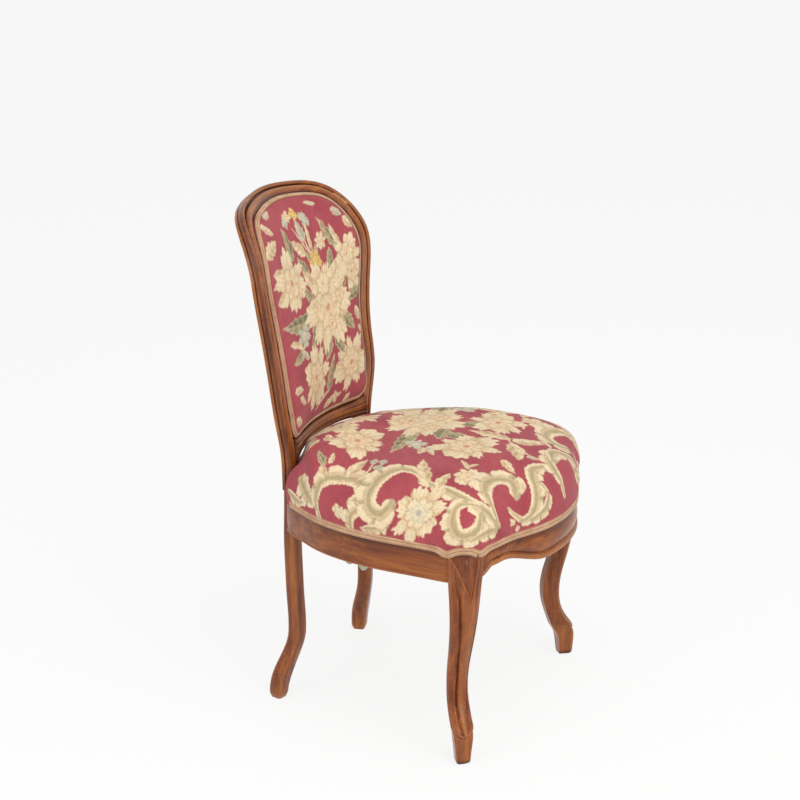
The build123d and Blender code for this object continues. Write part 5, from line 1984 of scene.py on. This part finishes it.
@dataclass
class UnderSeat:
    """What is seen from below: interlaced webbing and the torn dust cloth, in millimetres."""

    finishes: Finishes
    plan: SeatPlan
    rail_thickness: float = 24.0
    web_top: float = 352.0
    web_width: float = 50.0
    web_thickness: float = 1.4
    strap_places: tuple[float, float, float] = (-100.0, 0.0, 100.0)
    dust_height: float = 347.0
    sag: float = 4.0
    tear: tuple[float, float] = (-120.0, -60.7)
    tear_size: tuple[float, float] = (38.0, 30.0)
    scrap_run: tuple[float, float] = (42.0, -54.0)
    scrap_fall: float = 45.0
    dust_spacing: float = 7.0
    dust_thickness: float = 0.6

    def span(self, place: float, upright: bool) -> tuple[float, float]:
        """Where a strap meets the rails' inner faces.

        Args:
            place: The strap's place across, from the seat's middle.
            upright: Whether the strap runs from front to rear.

        Returns:
            Its two ends.
        """
        edge = self.plan.edge(1600)
        inner = edge - self.plan.outwards(edge) * self.rail_thickness
        across, along = (0, 1) if upright else (1, 0)
        close = inner[np.abs(inner[:, across] - place) < 1.5][:, along]
        return float(close.min()), float(close.max())

    def webbing(self) -> Object:
        """Six jute straps, woven over and under each other.

        Returns:
            The straps as one piece.
        """
        draft = Draft()
        total = 0.0
        for upright in (True, False):
            for i, step in enumerate(self.strap_places):
                place = step if upright else step + self.plan.middle
                low, high = self.span(place, upright)
                along = np.linspace(low + 0.5, high - 0.5, 90)
                total += high - low
                crossing = along - (self.plan.middle if upright else 0)
                over = np.cos(math.pi * crossing / self.strap_places[2] + math.pi * i)
                lift = (1 if upright else -1) * 0.55 * self.web_thickness * over
                half, thick = self.web_width / 2, self.web_thickness / 2
                section = np.array([(-half, -thick), (half, -thick), (half, thick), (-half, thick)])
                rows = []
                for at, z in zip(along, lift + self.web_top - 1.6 * self.web_thickness):
                    side = place + section[:, 0]
                    flat = (side, np.full(4, at)) if upright else (np.full(4, at), side)
                    rows.append(np.stack([*flat, z + section[:, 1]], 1))
                draft.sweep(np.array(rows) * MM)
        self.web_length = total * MM
        return draft.piece("jute_webbing_straps", self.finishes.jute)

    def dust_cloth(self) -> Object:
        """The thin cloth tacked under the seat, sagging, with a tear whose scrap hangs down.

        Returns:
            The cloth.
        """
        edge = self.plan.edge(900)
        inner = edge - self.plan.outwards(edge) * (self.rail_thickness - 3)
        outline = Outline(inner - (0, self.plan.middle))
        outline.reaches -= 4
        flat, share, faces = flat_grid(outline, 1.0, self.dust_spacing)
        ripple = 1.2 * speckle(flat, 45, 5)
        z = self.dust_height - (self.sag + ripple) * (1 - share**2)
        places = flat + (0, self.plan.middle)
        gap = np.hypot(*((places - self.tear) / self.tear_size).T) + 0.12 * speckle(flat, 12, 6)
        torn = gap < 1
        faces = [f for f in faces if not all(torn[c] for c in f)]
        rolled = np.where(gap < 1.35, 5 * (1.35 - np.minimum(gap, 1.35)), 0)
        spots = np.concatenate([places, (z - rolled)[:, None]], 1)
        rows, columns = 9, 16
        y = np.linspace(*self.scrap_run, columns)
        ragged = 0.9 * bell(y, 18, 14) + bell(y, -12, 15) + 0.8 * bell(y, -36, 10)
        fall = self.scrap_fall * np.clip(ragged, 0.08, 1) + 3 * speckle(y[:, None], 6, 8)
        scrap = []
        for t in np.linspace(0, 1, rows):
            curl = 4 * t * np.sin(0.16 * y) + 5 * t**2
            x = -(self.plan.half_width - self.rail_thickness - 4) + curl
            scrap.append(np.stack([x, y, self.dust_height - t * fall], 1))
        first = len(spots)
        spots = np.vstack([spots, *scrap])
        for i in range(rows - 1):
            for j in range(columns - 1):
                a = first + i * columns + j
                faces.append((a, a + 1, a + columns + 1, a + columns))
        mesh = bpy.data.meshes.new("torn_dust_cloth")
        mesh.from_pydata((spots * MM).tolist(), [], faces)
        with edited(mesh) as work:
            bmesh.ops.delete(work, geom=[v for v in work.verts if not v.link_faces], context="VERTS")
        piece = placed("torn_dust_cloth", mesh, self.finishes.dust_cloth, SHARP_CLOTH)
        fine = piece.modifiers.new("threads", "SUBSURF")
        fine.levels = fine.render_levels = 1
        thick = piece.modifiers.new("cloth", "SOLIDIFY")
        thick.thickness = self.dust_thickness * MM
        return settled(piece)

    def build(self) -> None:
        """Makes and hands over webbing and dust cloth."""
        webbing = self.webbing()
        hand_over(webbing, "jute", "seat_webbing")
        cloth = self.dust_cloth()
        hand_over(cloth, "dust_cloth", "dust_cover")


@dataclass
class Studio:
    """Pale floor, white surround, soft lights and the camera at the photograph's place."""

    place: tuple[float, float, float] = (-3.0365, -1.4555, 1.7012)
    tilt: float = 71.01
    pan: float = -64.07
    lens: float = 91.71
    sensor: float = 36.0
    floor: str = "#F4F3F1"
    floor_glow: float = 0.82
    surround: float = 0.62
    floor_half: float = 30.0
    # Each softbox's name, place, aim, side in metres and power in watts.
    lamps: tuple = (
        ("top_softbox", (-0.6, -0.9, 3.2), (0, 0, 0.4), 2.4, 32),
        ("front_softbox", (-1.7, -2.9, 1.5), (0, 0, 0.6), 2.0, 34),
        ("window_softbox", (-2.6, 0.9, 1.9), (0, 0, 0.5), 1.6, 20),
    )

    def camera(self) -> None:
        """Sets the camera, without shift or depth of field."""
        data = bpy.data.cameras.new("photo_camera")
        data.lens, data.sensor_width = self.lens, self.sensor
        camera = bpy.data.objects.new("photo_camera", data)
        camera.location = self.place
        camera.rotation_euler = (math.radians(self.tilt), 0, math.radians(self.pan))
        bpy.context.scene.collection.objects.link(camera)
        bpy.context.scene.camera = camera

    def seen_white(self, tree: NodeTree) -> NodeSocket:
        """Whether a ray looks at the surround rather than lights the chair.

        Args:
            tree: The tree that asks.

        Returns:
            A socket of 1 for camera, glossy and transmission rays.
        """
        rays = add(tree, "LightPath").outputs
        seen = rays["Is Camera Ray"]
        for other in ("Is Glossy Ray", "Is Transmission Ray"):
            seen = add(tree, "Math", {0: seen, 1: rays[other]}, operation="MAXIMUM").outputs[0]
        return seen

    def world(self) -> None:
        """A white surround that lights the chair evenly but softly."""
        world = bpy.data.worlds.new("studio")
        world.use_nodes = True
        tree = world.node_tree
        tree.nodes.clear()
        glow = {0: self.seen_white(tree), 2: self.surround, 3: 1.0}
        strength = add(tree, "Mix", glow, data_type="FLOAT").outputs[0]
        light = add(tree, "Background", {"Color": (1, 1, 1, 1), "Strength": strength})
        add(tree, "OutputWorld", {"Surface": light})
        bpy.context.scene.world = world

    def lamp(self, name: str, place: tuple, aim: tuple, size: float, power: float) -> None:
        """Adds a square softbox.

        Args:
            name: Its name.
            place: Where it hangs.
            aim: The point that it faces.
            size: Side of the square in metres.
            power: Its power in watts.
        """
        data = bpy.data.lights.new(name, "AREA")
        data.size, data.energy = size, power
        lamp = bpy.data.objects.new(name, data)
        lamp.location = place
        lamp.rotation_euler = (Vector(aim) - Vector(place)).to_track_quat("-Z", "Y").to_euler()
        bpy.context.scene.collection.objects.link(lamp)

    def ground(self) -> None:
        """A pale floor that the camera sees as near white, with the chair's shadow."""
        material, tree = blank_material("pale_studio_floor")
        matt = {"Base Color": linear(self.floor), "Roughness": 0.9, "Specular IOR Level": 0.1}
        shader = add(tree, "BsdfPrincipled", matt)
        white = add(tree, "Emission", {"Color": (1, 1, 1, 1), "Strength": 1.0})
        seen = self.seen_white(tree)
        share = add(tree, "Math", {0: seen, 1: self.floor_glow}, operation="MULTIPLY")
        mixed = add(tree, "MixShader", {0: share, 1: shader, 2: white})
        add(tree, "OutputMaterial", {"Surface": mixed})
        mesh = bpy.data.meshes.new("studio_floor")
        half = self.floor_half
        corners = [(-half, -half, 0), (half, -half, 0), (half, half, 0), (-half, half, 0)]
        mesh.from_pydata(corners, [], [(0, 1, 2, 3)])
        placed("studio_floor", mesh, material)

    def build(self) -> None:
        """Sets up the studio."""
        self.camera()
        self.world()
        self.ground()
        for lamp in self.lamps:
            self.lamp(*lamp)


def dress_solids(finishes: Finishes) -> None:
    """Gives the solids that stay in view their finishes.

    Args:
        finishes: All finishes.
    """
    blocks = [f"{side}_{end}_corner_block" for side in ("left", "right") for end in ("front", "rear")]
    wanted = {
        "rear_seat_rail": finishes.across,
        **dict.fromkeys([*blocks, "seat_dowels", "back_dowels"], finishes.beech),
        **dict.fromkeys(["corner_block_screws", "dust_cover_tacks"], finishes.iron),
        "seat_springs": finishes.steel,
    }
    for node, finish in wanted.items():
        solid = bpy.data.objects[node]
        for slot in solid.material_slots:
            slot.material = finish
        if not solid.material_slots:
            LOG.warning("%s has no material slot", node)
        LOG.info("%s: %s", node, finish.name)


def main() -> None:
    """Builds the chair's looks in order."""
    logging.basicConfig(level=logging.INFO, format="%(name)s: %(message)s")
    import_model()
    bpy.context.scene.view_settings.view_transform = "Standard"
    finishes = Finishes()
    back = BackFrame(finishes)
    plan = SeatPlan(back)
    gimp = PlaitedGimp(finishes.gimp)
    back.build()
    SeatFrame(finishes, plan).build()
    SeatUpholstery(finishes, plan, gimp).build()
    BackUpholstery(finishes, back, gimp).build()
    UnderSeat(finishes, plan).build()
    dress_solids(finishes)
    Studio().build()


if __name__ == "__main__":
    main()
